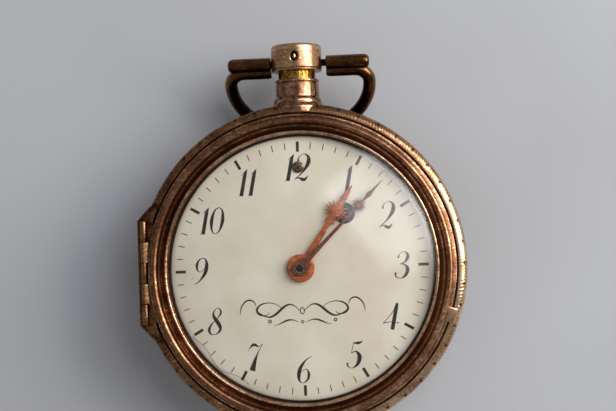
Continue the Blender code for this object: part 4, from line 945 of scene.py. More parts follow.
@dataclass
class Bezel:
    """The hinged ring that holds the glass: a moulding, a cove and a bright lip."""

    bottom: float = 12.35
    hole: float = 21.95
    outer: float = 25.3
    lip_angle: float = 109.0
    lip_width: float = 2.4
    glass_edge: float = 22.35
    glass_low: float = 13.85
    glass_high: float = 14.25
    dome_radius: float = 54.9
    dome_top: float = 18.83
    dome_wall: float = 0.4
    steps: int = 480

    def ring(self) -> None:
        """Build the ring: its closed profile turned around Z, with a slight hammered unevenness.

        The moulding is half an ellipse 1.3 mm wide. A point's height also moves by a small sum of sines of
        the angle, so that reflections waver as on a handled ring.
        """
        t = np.linspace(math.pi * 0.03, math.pi * 0.97, 22)
        moulding = np.stack([24.2 + 0.65 * np.cos(t), 13.9 + 1.0 * np.sin(t)], 1)
        t = np.linspace(0, 1, 9)[1:-1]
        cove = np.stack([23.42 - 0.85 * t, 13.86 + 0.62 * t**2], 1)
        corners = np.concatenate([
            # The underside and the outer wall, then the moulding and the cove
            [(self.hole, self.bottom), (25.2, self.bottom), (self.outer, self.bottom + 0.1)],
            [(self.outer, 13.66), (25.22, 13.88), (24.96, 13.92)],
            moulding, [(23.5, 13.88)], cove,
            # The bright lip, and the groove under it that holds the glass
            [(22.50, 14.56), (22.40, 14.72), (22.22, 14.76), (22.04, 14.66), (22.0, 14.42)],
            [(22.02, 14.32), (22.42, 14.3), (22.42, 13.8), (22.0, 13.78), (self.hole, 13.6)],
        ])
        profile = dense(softened(corners, 0.05, 2), 0.22)
        grid = spin(profile, self.steps)
        angle = np.linspace(0, 2 * math.pi, self.steps, endpoint=False)[None]
        high = np.clip((profile[:, 1:] - 13.7) / 0.6, 0, 1)
        waver = 0.012 * np.sin(11 * angle + 1.0) + 0.009 * np.sin(29 * angle)
        waver = waver + 0.006 * np.sin(67 * angle + 2.0)
        grid[..., 2] += waver * high
        in_cove = np.exp(-(((profile[:, :1] - 23.1) / 0.42) ** 2))
        on_lip = np.exp(-(((profile[:, :1] - 22.25) / 0.18) ** 2))
        # Worn crests with painted light: the cosine makes the ring brighter towards half past three, and the
        # bright lip gets a painted highlight on top of its own polish; the cove is darker, and so is all
        # below 13.6 mm
        rubbed_and_lit = crests(profile)[:, None] + 0.16 * np.cos(angle + 0.3)
        rubbed_and_lit = rubbed_and_lit - 0.30 * in_cove + 0.40 * on_lip - 0.25 * (profile[:, 1:] < 13.6)
        surface = Surface().add(grid, loop_rows=True, wear=np.clip(rubbed_and_lit, 0, 1))
        surface.place("moulded_bezel", TURNED_GOLD, "bezel", "rose_gold", "bezel_ring")

    def lifting_lip(self) -> None:
        """Build the lip for the thumbnail: a rounded block over the groove, its corners softened."""
        turn = math.radians(self.lip_angle)
        out = np.array([math.sin(turn), math.cos(turn)])
        side = np.array([out[1], -out[0]])
        corners = [(24.75, 13.56), (26.15, 13.58), (26.3, 13.75), (26.2, 14.05), (25.7, 14.2), (24.8, 14.3)]
        section = softened(corners, 0.12, 3)
        across = self.lip_width / 2 * np.array([-1, -0.94, -0.8, 0, 0.8, 0.94, 1])
        shrink = np.array([0.75, 0.92, 1, 1, 1, 0.92, 0.75])[:, None, None]
        flat = section.mean(0) + (section[None] - section.mean(0)) * shrink
        place = flat[..., :1] * out + across[:, None, None] * side
        grid = np.concatenate([place, flat[..., 1:]], axis=-1)
        surface = Surface().add(grid, caps=True, wear=0.95)
        surface.place("bezel_lifting_lip", TURNED_GOLD, "bezel", "rose_gold")

    def glass(self) -> None:
        """Build the glass: a sphere's cap outside, the same cap a wall lower inside, and an upright edge."""
        span = math.asin(self.glass_edge / self.dome_radius)
        t = np.linspace(0, span, 40)
        centre = self.dome_top - self.dome_radius
        upper = np.stack([self.dome_radius * np.sin(t), centre + self.dome_radius * np.cos(t)], 1)
        scale = (self.dome_top - self.glass_high) / (self.dome_top - upper[-1, 1])
        upper[:, 1] = self.dome_top - (self.dome_top - upper[:, 1]) * scale
        lower = upper[::-1] - (0, self.dome_wall)
        lower[0] = (self.glass_edge, self.glass_low)
        profile = np.concatenate([upper, lower])
        surface = Surface().add(spin(profile, WIDE_STEPS))
        surface.place("domed_glass", WATCH_GLASS, "bezel", "glass", "crystal")

    def build(self, case: Case) -> None:
        """Build the ring, its lip, its knuckles and the glass.

        Args:
            case: the case, whose hinge it shares.
        """
        self.ring()
        self.lifting_lip()
        case.knuckles("bezel", (1, 3), "bezel_knuckles")
        self.glass()


# ---------------------------------------------------------------- the dial

# Each stroke is a run of (x, y, width) in shares of the numeral's height, before the slant
Stroke = Sequence[tuple[float, float, float]]
DIGITS: dict[str, list[Stroke]] = {
    "0": [[(0.24, 1.0, 0.02), (0.09, 0.86, 0.06), (0.03, 0.5, 0.13), (0.09, 0.14, 0.06), (0.24, 0.0, 0.02),
           (0.39, 0.14, 0.06), (0.45, 0.5, 0.13), (0.39, 0.86, 0.06), (0.24, 1.0, 0.02)]],
    "1": [[(0.20, 1.0, 0.01), (0.16, 0.90, 0.09), (0.14, 0.74, 0.13), (0.13, 0.35, 0.135), (0.12, 0.0, 0.14)],
          [(0.20, 1.0, 0.01), (0.06, 0.84, 0.018), (0.02, 0.78, 0.012)],
          [(0.12, 0.03, 0.02), (0.02, -0.02, 0.012)]],
    "2": [[(0.06, 0.78, 0.09), (0.05, 0.74, 0.06), (0.07, 0.88, 0.03), (0.22, 1.0, 0.02), (0.40, 0.90, 0.09),
           (0.45, 0.72, 0.15), (0.40, 0.52, 0.12), (0.24, 0.26, 0.05), (0.02, 0.04, 0.02)],
          [(0.02, 0.04, 0.02), (0.16, 0.10, 0.04), (0.30, 0.04, 0.12), (0.40, 0.03, 0.10),
           (0.50, 0.16, 0.015)]],
    "3": [[(0.06, 0.80, 0.09), (0.05, 0.76, 0.06), (0.08, 0.90, 0.03), (0.22, 1.0, 0.02), (0.38, 0.90, 0.09),
           (0.40, 0.76, 0.12), (0.32, 0.60, 0.05), (0.16, 0.54, 0.02)],
          [(0.16, 0.54, 0.02), (0.34, 0.50, 0.05), (0.46, 0.34, 0.14), (0.42, 0.12, 0.10), (0.24, 0.0, 0.02),
           (0.06, 0.08, 0.04), (0.03, 0.20, 0.06), (0.05, 0.17, 0.09)]],
    "4": [[(0.44, 1.0, 0.02), (0.42, 0.88, 0.12), (0.40, 0.45, 0.14), (0.38, 0.0, 0.14)],
          [(0.43, 0.98, 0.02), (0.28, 0.62, 0.022), (0.02, 0.26, 0.02)],
          [(0.00, 0.25, 0.03), (0.30, 0.29, 0.02), (0.60, 0.24, 0.03)]],
    "5": [[(0.16, 0.94, 0.04), (0.30, 0.93, 0.10), (0.40, 0.95, 0.07), (0.48, 1.02, 0.012)],
          [(0.15, 0.95, 0.02), (0.13, 0.75, 0.018), (0.12, 0.56, 0.02)],
          [(0.12, 0.56, 0.02), (0.28, 0.62, 0.05), (0.44, 0.42, 0.16), (0.40, 0.14, 0.11), (0.22, 0.0, 0.02),
           (0.05, 0.07, 0.04), (0.02, 0.17, 0.06), (0.04, 0.14, 0.08)]],
    "6": [[(0.46, 1.0, 0.012), (0.24, 0.84, 0.05), (0.08, 0.55, 0.13), (0.06, 0.28, 0.13), (0.12, 0.08, 0.06),
           (0.25, 0.0, 0.02), (0.40, 0.10, 0.06), (0.44, 0.28, 0.10), (0.38, 0.46, 0.05), (0.27, 0.52, 0.02),
           (0.14, 0.42, 0.02), (0.10, 0.30, 0.03)]],
    "7": [[(0.02, 0.74, 0.012), (0.06, 0.86, 0.03), (0.16, 0.97, 0.10), (0.26, 0.96, 0.10),
           (0.38, 0.90, 0.03), (0.52, 1.0, 0.015)],
          [(0.52, 1.0, 0.015), (0.42, 0.76, 0.025), (0.34, 0.50, 0.08), (0.29, 0.24, 0.16),
           (0.26, 0.0, 0.22)]],
    "8": [[(0.26, 0.54, 0.15), (0.14, 0.70, 0.10), (0.12, 0.86, 0.045), (0.25, 1.0, 0.02), (0.38, 0.90, 0.06),
           (0.38, 0.76, 0.06), (0.26, 0.58, 0.02), (0.10, 0.40, 0.05), (0.03, 0.20, 0.10), (0.10, 0.05, 0.06),
           (0.24, 0.0, 0.02), (0.40, 0.08, 0.06), (0.46, 0.22, 0.10), (0.40, 0.36, 0.14),
           (0.26, 0.54, 0.15)]],
    "9": [[(0.04, 0.0, 0.012), (0.26, 0.16, 0.05), (0.42, 0.45, 0.13), (0.44, 0.72, 0.13), (0.38, 0.92, 0.06),
           (0.25, 1.0, 0.02), (0.10, 0.90, 0.06), (0.06, 0.72, 0.10), (0.12, 0.54, 0.05), (0.23, 0.48, 0.02),
           (0.36, 0.58, 0.02), (0.40, 0.70, 0.03)]],
}
# Widths and the gap between two digits, in the same shares
NARROW_WIDTHS = {"1": 0.27}
DIGIT_WIDTH = 0.50
DIGIT_GAP = 0.08


def smooth_line(corners: Array, steps: int = 8) -> Array:
    """Run a Catmull-Rom curve through points: each span is a cubic that slopes by half its neighbours' chord.

    Args:
        corners: the points, with any further columns such as a width.
        steps: points in each span.

    Returns:
        The curve's points.
    """
    p = np.vstack([2 * corners[0] - corners[1], corners, 2 * corners[-1] - corners[-2]])
    a, b, c, d = p[:-3, None], p[1:-2, None], p[2:-1, None], p[3:, None]
    t = np.linspace(0, 1, steps, endpoint=False)[None, :, None]
    curve = 0.5 * (2 * b + (c - a) * t + (2 * a - 5 * b + 4 * c - d) * t**2 + (3 * b - a - 3 * c + d) * t**3)
    return np.vstack([curve.reshape(-1, corners.shape[1]), corners[-1:]])


@dataclass
class Dial:
    """The enamel dial with its painted figures, its holes and its screw."""

    radius: float = 21.6
    edge_low: float = 12.45
    rise: float = 1.2
    thickness: float = 0.65
    centre_hole: float = 1.85
    winding_hole: float = 1.75
    screw_hole: float = 0.55
    winding_at: tuple[float, float] = (7.33, 8.73)
    screw_at: tuple[float, float] = (0.0, 16.5)
    numeral_height: float = 4.35
    numeral_radius: float = 16.5
    slant: float = 0.17
    ink: float = 0.02
    thinnest: float = 0.06
    steps: int = 240

    def surface_height(self, x: Array, y: Array) -> Array:
        """Give the height of the dial's face: a bowl upside down, highest at the centre."""
        share = (x**2 + y**2) / self.radius**2
        return self.edge_low + self.rise * (1 - share) + self.thickness

    def plate(self) -> None:
        """Build the dial: a domed face and underside turned around Z, and two holes bored through."""
        r = np.linspace(self.centre_hole, self.radius - 0.25, 30)
        face = np.stack([r, self.surface_height(r, 0 * r)], 1)
        under = face[::-1] - (0, self.thickness)
        rim_top, rim_low, hole_top = face[-1, 1], under[0, 1], face[0, 1]
        edge = [(self.radius - 0.06, rim_top - 0.12), (self.radius, rim_top - 0.3),
                (self.radius - 0.08, rim_low + 0.06)]
        hole = [(self.centre_hole - 0.06, hole_top - 0.5), (self.centre_hole - 0.06, hole_top - 0.12)]
        profile = np.concatenate([face, edge, under, hole])
        made = Surface().add(spin(profile, self.steps), loop_rows=True).make("enamel_dial_face", DIAL_ENAMEL)
        below, above = 12.0, 16.0
        for radius, spot in ((self.winding_hole, self.winding_at), (self.screw_hole, self.screw_at)):
            profile = np.array([(0, below), (radius, below), (radius, above), (0, above)])
            drill = Surface().add(spin(profile, HOLE_STEPS, at=(*spot, 0))).make("drill", DIAL_ENAMEL)
            cut_out(made, drill)
        made.data.set_sharp_from_angle(angle=math.radians(40))
        stands_for(made, "movement", "enamel", "dial")

    def painted(self, name: str, strokes: Sequence[Array]) -> None:
        """Lay strokes of paint on the dial: ribbons that follow its dome, a little above it.

        A stroke's two edges are its line moved by half its width along its normal; the sides go down into
        the enamel.

        Args:
            name: the piece's name.
            strokes: rows of x, y and width in mm.
        """
        surface = Surface()
        for stroke in strokes:
            along = np.gradient(stroke[:, :2], axis=0)
            along /= np.linalg.norm(along, axis=1, keepdims=True) + 1e-9
            side = np.stack([-along[:, 1], along[:, 0]], 1)
            half = np.maximum(stroke[:, 2:], self.thinnest) / 2
            left, right = stroke[:, :2] + side * half, stroke[:, :2] - side * half
            cross = np.stack([left, left, right, right], axis=1)
            lift = np.array([-0.03, self.ink, self.ink, -0.03])[None]
            z = self.surface_height(cross[..., 0], cross[..., 1]) + lift
            surface.add(np.concatenate([cross, z[..., None]], axis=-1), caps=True)
        surface.place(name, DIAL_PAINT, "movement", "enamel")

    def numeral(self, text: str, at: tuple[float, float]) -> list[Array]:
        """Place one hour's figures upright at a point, slanted like handwriting.

        Args:
            text: one or two digits.
            at: the middle of the figures in mm.

        Returns:
            The strokes in mm.
        """
        widths = [NARROW_WIDTHS.get(digit, DIGIT_WIDTH) for digit in text]
        total = sum(widths) + DIGIT_GAP * (len(text) - 1)
        strokes, left = [], -total / 2
        for digit, width in zip(text, widths):
            for stroke in DIGITS[digit]:
                line = smooth_line(np.array(stroke))
                line[:, 0] += left + self.slant * (line[:, 1] - 0.5)
                line[:, 1] -= 0.5
                line *= self.numeral_height
                strokes.append(line + (*at, 0))
            left += width + DIGIT_GAP
        return strokes

    def minute_track(self) -> list[Array]:
        """Give the 60 marks, each between two radii: longer and bold at each fifth minute."""
        strokes = []
        for minute in range(60):
            turn = math.radians(6 * minute)
            start, end, width = (19.05, 20.75, 0.46) if minute % 5 == 0 else (19.55, 20.6, 0.13)
            r = np.linspace(start, end, 4)
            strokes.append(np.stack([r * math.sin(turn), r * math.cos(turn), np.full(4, width)], axis=1))
        return strokes

    def flourish(self) -> list[Array]:
        """Draw an ornament of scrolls, the same on both sides, where a maker would sign.

        Each scroll is a spiral whose radius shrinks evenly with its turning; its pen width swells as a sine.
        """
        t = np.linspace(0, 1, 60)
        full, half, swell = 2 * math.pi * t, math.pi * t, np.sin(math.pi * t)
        spiral, shrinking = 0.2 + 5.6 * t, 1.75 * (1 - 0.82 * t)
        # Across, along and width of the scroll, the long and the short wave, the dot and the end's arc
        curves = [
            (5.9 - shrinking * np.cos(spiral) * 1.5, -6.9 + shrinking * np.sin(spiral),
             0.09 + 0.24 * swell**3),
            (0.35 + 6.9 * t, -6.9 + 1.15 * np.sin(full) * (1 - 0.3 * t), 0.09 + 0.3 * swell**2),
            (0.6 + 4.1 * t, -8.75 + 0.42 * np.sin(1.5 * half), 0.07 + 0.2 * swell**2),
            (5.35 + 0.22 * np.cos(full), -8.5 + 0.22 * np.sin(full), 0.16 + 0 * t),
            (8.9 - 1.3 * np.cos(half), -6.0 + 1.6 * np.sin(half) - 1.2 * t, 0.08 + 0.16 * swell),
        ]
        middle = [
            (0.34 * np.cos(full), -6.9 + 0.5 * np.sin(full), 0.14 + 0 * t),
            (0.2 * np.cos(full), -8.7 + 0.2 * np.sin(full), 0.14 + 0 * t),
        ]
        strokes = [np.stack([side * x, y, width], 1) for side in (-1, 1) for x, y, width in curves]
        return strokes + [np.stack(curve, 1) for curve in middle]

    def hairline(self) -> list[Array]:
        """Draw the crack near 7 o'clock: a line along the rim that wavers and dies out."""
        t = np.linspace(0, 1, 40)
        turn = np.radians(206 + 34 * t)
        r = 20.9 - 0.25 * np.sin(3.1 * t * math.pi) - 0.15 * np.sin(11 * t)
        return [np.stack([r * np.sin(turn), r * np.cos(turn), 0.035 + 0.03 * np.sin(math.pi * t)], 1)]

    def screw(self) -> None:
        """Build the dial's screw: a domed head turned around Z, cut by a slot, a little askew."""
        t = np.linspace(0, math.pi / 2, 8)
        head = np.stack([0.95 * np.cos(t) ** 0.8, 13.78 + 0.24 * np.sin(t)], 1)
        profile = np.concatenate([[(0, 13.4), (0.5, 13.4), (0.5, 13.68), (0.9, 13.68)], head])
        head_grid = spin(profile, SMALL_STEPS, at=(*self.screw_at, 0))
        made = Surface().add(head_grid).make("dial_screw_head", DIAL_SCREW_STEEL)
        turn, half_length, half_width = math.radians(48), 1.1, 0.12
        out = half_length * np.array([math.cos(turn), math.sin(turn)])
        side = half_width * np.array([-math.sin(turn), math.cos(turn)])
        corners = np.array([out + side, side - out, -out - side, out - side]) + self.screw_at
        slot = np.array([np.column_stack([corners, np.full(4, z)]) for z in (13.86, 14.3)])
        cut_out(made, Surface().add(slot, caps=True).make("slot", BLACKENED))
        stands_for(made, "movement", "steel", "dial_screw")

    def winding_square(self) -> None:
        """Build what the winding hole shows: a dark ring turned around Z, which is painted shade in the hole,
        and the square inside it.
        """
        at = (*self.winding_at, 0)
        # A near-black ring fills the hole around the square: painted shade
        ring = np.array([(0.86, 12.1), (1.7, 12.1), (1.7, 12.6), (0.86, 12.5)])
        surface = Surface().add(spin(ring, SMALL_STEPS, at=at), loop_rows=True)
        surface.place("winding_dust_ring", BLACKENED, "movement", "steel")
        side = np.array([0.578, 0.578, 0.53])
        corner = np.array([(1, 1), (-1, 1), (-1, -1), (1, -1)])
        flat = side[:, None, None] * corner[None] + np.array(self.winding_at)
        height = np.array([12.05, 13.46, 13.52])[:, None] + np.zeros((1, 4))
        square = np.concatenate([flat, height[..., None]], axis=-1)
        Surface().add(square, caps=True).place("winding_square_steel", BLACKENED, "fusee", "steel")

    def build(self) -> None:
        """Build the dial, its painted figures, its ornament, its screw and its winding square."""
        self.plate()
        self.winding_square()
        self.painted("minute_marks", self.minute_track())
        figures: list[Array] = []
        for hour in range(1, 13):
            turn = math.radians(30 * hour)
            at = (self.numeral_radius * math.sin(turn), self.numeral_radius * math.cos(turn))
            figures += self.numeral(str(hour), at)
        self.painted("hour_figures", figures)
        self.painted("dial_flourish", self.flourish())
        self.painted("dial_hairline", self.hairline())
        self.screw()


# ---------------------------------------------------------------- the hands


@dataclass
class Hand:
    """One hand: a boss, a rounded stem, a sun with rays, a leaf and a point, bent down towards the dial.

    Its outline gives the stem's half width at distances from the centre.
    """

    name: str
    body: str
    node: str
    finish: Metal
    angle: float
    length: float
    low: float
    drop: float
    thickness: float
    boss: float
    bore: float
    sun_at: float
    sun_inner: float
    sun_outer: float
    rays: int
    outline: Profile

    def bent(self, grid: Array) -> Array:
        """Lower points by the drop times the square of their share of the length, then turn to the hour."""
        grid = grid.copy()
        reach = np.clip(grid[..., 1], 0, None) / self.length
        grid[..., 2] -= self.drop * reach**2
        turn = -math.radians(self.angle)
        x = grid[..., 0] * math.cos(turn) - grid[..., 1] * math.sin(turn)
        y = grid[..., 0] * math.sin(turn) + grid[..., 1] * math.cos(turn)
        return np.stack([x, y, grid[..., 2]], axis=-1)

    def build(self) -> None:
        """Build the hand from its boss, its stem and its sun."""
        surface = Surface()
        high = self.low + self.thickness
        ring = softened(
            [(self.bore, self.low), (self.boss - 0.05, self.low), (self.boss, self.low + 0.1),
             (self.boss - 0.25, high + 0.12), (self.bore + 0.35, high + 0.2), (self.bore, high + 0.1)],
            0.1, 3,
        )
        surface.add(self.bent(spin(ring, HOLE_STEPS)), loop_rows=True, wear=0.6)
        corner = np.array(self.outline)
        along = np.linspace(corner[0, 0], corner[-1, 0], 90)
        half = np.interp(along, corner[:, 0], corner[:, 1])
        t = np.linspace(0, 2 * math.pi, 12, endpoint=False)
        x = half[:, None] * np.cos(t)
        half_thick = self.thickness / 2
        z = self.low + half_thick + half_thick * np.sign(np.sin(t)) * np.abs(np.sin(t)) ** 0.6 + 0 * x
        surface.add(self.bent(np.stack([x, along[:, None] + 0 * x, z], axis=-1)), caps=True, wear=0.55)
        count = self.rays * 6
        t = np.linspace(0, 2 * math.pi, count, endpoint=False)
        point = np.abs(((t * self.rays / (2 * math.pi)) % 1) - 0.5) * 2
        rim = self.sun_inner + (self.sun_outer - self.sun_inner) * point**1.3
        share = np.array([0.0, 0.35, 0.7, 1.0, 1.0, 0.7, 0.35, 0.0])[:, None]
        top = np.array([0.16, 0.15, 0.06, -0.06])
        lift = np.concatenate([high + top, [self.low + 0.04, self.low, self.low, self.low]])[:, None]
        x = share * rim * np.cos(t)
        y = self.sun_at + share * rim * np.sin(t)
        surface.add(self.bent(np.stack([x, y, lift + 0 * x], axis=-1)), wear=0.7)
        surface.place(self.name, self.finish, self.body, "rusty_steel", self.node, sharp=30)


def build_hands() -> None:
    """Build the hour hand and the minute hand, and the pin that carries them."""
    Hand(
        "hour_hand_rusted", "hour", "hour_hand", RUSTY_STEEL, angle=33.7, length=15.9, low=14.85,
        drop=0.7, thickness=0.25, boss=2.3, bore=1.2, sun_at=10.9, sun_inner=0.85, sun_outer=2.05, rays=16,
        outline=[(1.4, 0.62), (5.0, 0.50), (8.3, 0.36), (8.6, 0.42), (8.9, 0.95), (9.15, 0.42), (9.5, 0.36),
                 (12.0, 0.32), (13.4, 0.52), (14.2, 0.42), (15.9, 0.05)],
    ).build()
    Hand(
        "minute_hand_rusted", "centre", "minute_hand", DARK_RUST, angle=44.7, length=19.5, low=15.75,
        drop=1.6, thickness=0.25, boss=1.25, bore=0.8, sun_at=13.9, sun_inner=0.62, sun_outer=1.35, rays=16,
        outline=[(1.0, 0.42), (6.0, 0.30), (12.0, 0.20), (14.9, 0.18), (15.6, 0.20), (16.3, 0.46),
                 (17.0, 0.22), (19.5, 0.04)],
    ).build()
    corners = [(0, 15.7), (0.78, 15.7), (0.78, 16.22), (0.5, 16.36), (0, 16.36)]
    profile = softened(corners, 0.08, 3, closed=False)
    Surface().add(spin(profile, PIN_STEPS)).place("centre_pin", BLACKENED, "centre", "steel")


# ---------------------------------------------------------------- the pendant and the bow


@dataclass
class Pendant:
    """The neck on the case, the sliding stem and the push-piece's cap, turned around the pendant's axis."""

    height: float = 9.6
    stem: float = 3.1
    rod: float = 1.2
    stem_low: float = 29.8
    cap: float = 4.2
    cap_low: float = 32.6
    cap_high: float = 37.1

    def turned(self, line: Array) -> Array:
        """Turn a line of (radius, y) around the pendant's axis."""
        return spin(line, PENDANT_STEPS, Axis.PENDANT, (0, 0, self.height))

    def build(self) -> None:
        """Build the neck, the stem, the cap and the punched mark."""
        neck = [(1.26, 25.4), (4.2, 25.4), (4.4, 25.62), (4.42, 26.6), (4.16, 27.1), (3.98, 27.25),
                (4.02, 27.5), (3.92, 27.9), (3.62, 28.3), (3.6, 30.5), (3.42, 30.58), (3.42, 30.72),
                (3.66, 30.8), (3.68, 31.1), (3.5, 31.2), (3.16, 31.2), (3.16, 28.5), (1.26, 28.5)]
        stem = [(0.3, 24.9), (self.rod, 24.9), (self.rod, self.stem_low), (self.stem, self.stem_low),
                (self.stem, 32.7), (0.3, 32.7)]
        for profile, soft, *facts in (
            (neck, 0.12, "pendant_neck_polished", POLISHED_GOLD, "case", "rose_gold", "pendant_neck"),
            (stem, 0.05, "push_stem_brass", STEM_BRASS, "push_piece", "brass", "push_stem"),
        ):
            line = dense(softened(profile, soft, 4), 0.3)
            Surface().add(self.turned(line), loop_rows=True, wear=crests(line)[:, None]).place(*facts)
        high, low, cap = self.cap_high, self.cap_low, self.cap
        corners = [(0, high), (3.3, high - 0.04), (4.02, high - 0.2), (cap, high - 0.55), (cap, low + 0.42),
                   (cap - 0.16, low + 0.36), (cap - 0.14, low + 0.3), (cap - 0.02, low + 0.24),
                   (cap - 0.03, low + 0.05), (cap - 0.2, low), (0, low)]
        line = dense(softened(corners, 0.14, 5, closed=False), 0.3, closed=False)
        on_crown, in_groove = line[:, 1:] > high - 1.1, np.abs(line[:, 1:] - low - 0.38) < 0.09
        wear = np.clip(0.5 + 0.25 * on_crown - 0.4 * in_groove, 0, 1)
        Surface().add(self.turned(line), wear=wear).place(
            "push_cap_pale", CAP_GOLD, "push_piece", "pale_gold", "push_cap"
        )
        self.mark()

    def mark(self) -> None:
        """Build a plain oval punch mark on the cap: a rim around a dark hollow with a small pip.

        Each is an oval disc: rings at shares of its half sizes, lifted off the cap and curved with it.
        """
        t = np.linspace(0, 2 * math.pi, SMALL_STEPS, endpoint=False)
        for name, finish, (half_x, half_y), middle, rings in (
            ("oval_punch_mark", CAP_GOLD, (0.82, 1.08), 34.8,
             [(0, 0.015, 0.05), (0.5, 0.015, 0.05), (0.8, 0.02, 0.1), (0.88, 0.10, 0.7), (0.96, 0.12, 0.8),
              (1.06, 0.06, 0.6), (1.1, -0.05, 0.5)]),
            ("oval_punch_pip", CAP_GOLD, (0.2, 0.42), 34.75,
             [(0, 0.10, 0.9), (0.6, 0.08, 0.9), (1, 0.02, 0.9), (1, -0.02, 0.9)]),
            ("oval_punch_floor", BLACKENED, (0.82, 1.08), 34.8, [(0, 0.03, 0.5), (0.78, 0.03, 0.5)]),
        ):
            share, lift, wear = np.array(rings, float).T[:, :, None]
            x, y = share * half_x * np.cos(t), middle + share * half_y * np.sin(t)
            z = self.height + np.sqrt((self.cap + lift) ** 2 - x**2)
            Surface().add(np.stack([x, y, z], -1), wear=wear).place(name, finish, "push_piece", "pale_gold")


@dataclass
class Bow:
    """The stirrup bow: a tube on each side of the cap, and a wire loop under them that is folded down.

    `gap` is how far the loop's straights lie below the tubes, and `fold` is its angle below level in degrees.
    """

    origin: tuple[float, float, float] = (0.3, 34.0, 9.6)
    fold: float = 37.8
    tube: float = 1.175
    wire: float = 1.07
    inner: float = 4.6
    outer: float = 11.8
    half_width: float = 11.65
    length: float = 13.65
    gap: float = 1.5
    corner: float = 2.35
    steps: int = 28

    def placed(self, line: Array) -> Array:
        """Put a line of (across, along) into the watch: along points down and back towards the case."""
        turn = math.radians(self.fold)
        x = self.origin[0] + line[:, 0]
        y = self.origin[1] - line[:, 1] * math.cos(turn)
        z = self.origin[2] - line[:, 1] * math.sin(turn)
        return np.stack([x, y, z], axis=1)

    def build(self) -> None:
        """Build the two tubes with rounded ends, and the loop: straights, corner arcs and half an ellipse."""
        surface = Surface()
        t = np.linspace(0.2, math.pi / 2, 9)
        straight, cap_start = np.full(6, self.tube), self.outer - 1.0
        end = self.tube * np.cos(np.linspace(0.2, math.pi / 2 - 0.12, 9)) ** 0.6
        for side in (-1, 1):
            x = np.concatenate([
                self.inner + np.array([0, 0.03, 0.12]), np.linspace(self.inner + 0.6, cap_start, 6),
                cap_start + np.sin(t),
            ])
            radius = np.concatenate([[0.9, 1.08, self.tube], straight, end])
            self.add_wire(surface, np.stack([side * x, 0 * x], 1), radius)
        t = np.linspace(0, math.pi / 2, 12)
        bend = self.half_width - self.corner
        corner = np.stack([bend + self.corner * np.sin(t), self.gap + self.corner * (1 - np.cos(t))], 1)
        start = np.stack([np.linspace(self.inner, bend, 10, endpoint=False), np.full(10, self.gap)], 1)
        low = self.gap + self.corner
        t = np.linspace(0, math.pi / 2, 40)[1:]
        arch = np.stack([self.half_width * np.cos(t), low + (self.length - low) * np.sin(t)], 1)
        half = np.concatenate([start, corner, arch])
        line = np.concatenate([half, half[-2::-1] * (-1, 1)])
        radius = np.full(len(line), self.wire)
        radius[[0, -1]] = self.wire * 0.85
        self.add_wire(surface, line, radius)
        surface.place("stirrup_bow", BOW_BRONZE, "bow", "dark_bronze", "bow")

    def add_wire(self, surface: Surface, line: Array, radius: Array) -> None:
        """Carry a circle along a line of (across, along); its side away from the loop's middle is rubbed.

        Args:
            surface: the surface that gets it.
            line: the line in mm.
            radius: the circle's radius at each point.
        """
        first, second, middle = self.placed(np.array([[0, 0], [0, 1], [0, 6]]))
        path = self.placed(line)
        grid = sweep(path, radius, self.steps, np.cross((1, 0, 0), second - first))
        out = path - middle
        out /= np.linalg.norm(out, axis=1, keepdims=True)
        rim = (grid - path[:, None]) / np.reshape(radius, (-1, 1, 1))
        facing = np.sum(rim * out[:, None], axis=-1)
        wear = np.clip(0.30 + 0.45 * np.clip(facing, -0.4, 1), 0, 1)
        surface.add(grid, caps=True, wear=wear)


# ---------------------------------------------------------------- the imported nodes, the studio


def dress_nodes() -> None:
    """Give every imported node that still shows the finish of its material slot."""
    for name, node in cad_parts.items():
        if node.hide_render:
            continue
        packed = node.data.materials[0].name
        slot = max((slot for slot in SLOT_METALS if slot in packed), key=len)
        finish = NODE_METALS.get(name, SLOT_METALS[slot])
        node.data.materials.clear()
        node.data.materials.append(FINISHES.get(finish))
        LOG.info("%s keeps its packed shape in %s", name, finish.name)


@dataclass(frozen=True)
class Lamp:
    """A rectangular lamp that faces the watch, with its place and size in mm and its power in watts."""

    name: str
    at: tuple[float, float, float]
    size: tuple[float, float]
    power: float
    colour: str
    aim: tuple[float, float, float] = (0, 5, 10)

    def hang(self) -> None:
        """Hang the lamp."""
        lamp = bpy.data.lights.new(self.name, "AREA")
        lamp.shape, lamp.size, lamp.size_y = "RECTANGLE", self.size[0] * MM, self.size[1] * MM
        lamp.energy, lamp.color = self.power, linear(self.colour)[:3]
        made = bpy.data.objects.new(self.name, lamp)
        made.location = Vector(self.at) * MM
        made.rotation_euler = (Vector(self.aim) * MM - made.location).to_track_quat("-Z", "Y").to_euler()
        bpy.context.scene.collection.objects.link(made)


# A far window to the right, a soft box beside it, and a sky above them
LAMPS = (
    Lamp("window", (395, -15, 520), (60, 40), 0.035, "#FFF8EC"),
    Lamp("key", (440, 150, 270), (420, 300), 2.5, "#FFFBF4"),
    Lamp("soft_sky", (250, 190, 400), (360, 320), 1.0, "#F4F6FF"),
)


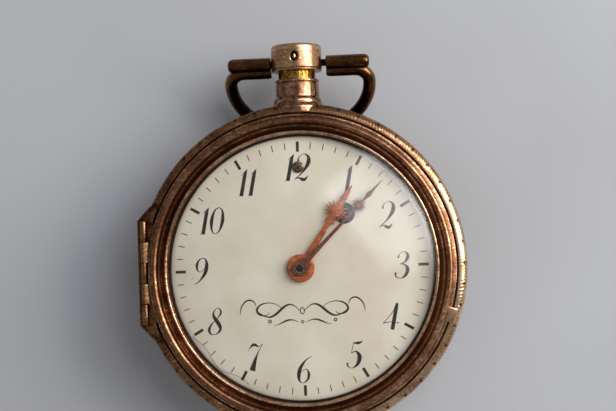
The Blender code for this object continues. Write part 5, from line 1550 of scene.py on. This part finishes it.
@dataclass
class Studio:
    """The floor, the room's dim light and the camera, with sizes in mm and angles in degrees."""

    half_floor: float = 1500.0
    rise_start: float = 900.0
    room: str = "#B8B6B8"
    room_strength: float = 0.62
    distance: float = 246.4
    lens: float = 88.0
    sensor: float = 36.0
    target: tuple[float, float, float] = (1.4, 10.2, 13.0)
    tilt_back: float = 2.0
    tilt_side: float = 4.67
    roll: float = 1.93

    def floor(self) -> None:
        """Build the floor: a sheet that stays flat under the watch and rises in a parabola far behind it."""
        line = np.linspace(-self.half_floor, self.half_floor, 40)
        x, y = np.meshgrid(line, line)
        z = np.clip(y - self.rise_start, 0, None) ** 2 / self.rise_start
        grid = np.stack([x, y, z], -1)
        made = Surface().add(grid, loop_columns=False).make("studio_floor", FloorPaint())
        if made.data.polygons[0].normal.z < 0:
            made.data.flip_normals()

    def camera(self) -> None:
        """Set the camera above the target, leaning a little to 3 and 6 o'clock and turned by the roll."""
        data = bpy.data.cameras.new("camera")
        data.lens, data.sensor_width = self.lens, self.sensor
        data.clip_start, data.clip_end = 0.01, 10
        made = bpy.data.objects.new("camera", data)
        back, side = math.radians(self.tilt_back), math.radians(self.tilt_side)
        away = Vector((math.tan(side), -math.tan(back), 1)).normalized()
        target = Vector(self.target)
        made.location = (target + away * self.distance) * MM
        up = Vector((0, 1, 0)) - away * away.y
        up = Matrix.Rotation(math.radians(-self.roll), 3, away) @ up.normalized()
        turn = Matrix((up.cross(away), up, away)).transposed().to_quaternion()
        made.matrix_world = Matrix.LocRotScale(made.location, turn, None)
        bpy.context.scene.collection.objects.link(made)
        bpy.context.scene.camera = made

    def build(self) -> None:
        """Build the floor, the lamps, the dim light of the room, and the camera."""
        self.floor()
        for lamp in LAMPS:
            lamp.hang()
        world = bpy.data.worlds.new("room")
        bpy.context.scene.world = world
        world.use_nodes = True
        ground = world.node_tree.nodes["Background"]
        ground.inputs[0].default_value = linear(self.room)
        ground.inputs[1].default_value = self.room_strength
        bpy.context.scene.view_settings.view_transform = "Standard"
        self.camera()


def main() -> None:
    """Build the watch from its case outwards, dress the rest, and set the studio."""
    logging.basicConfig(level=logging.INFO, format="%(name)s: %(message)s")
    case = Case()
    case.build()
    Bezel().build(case)
    Dial().build()
    build_hands()
    Pendant().build()
    Bow().build()
    dress_nodes()
    Studio().build()


if __name__ == "__main__":
    main()
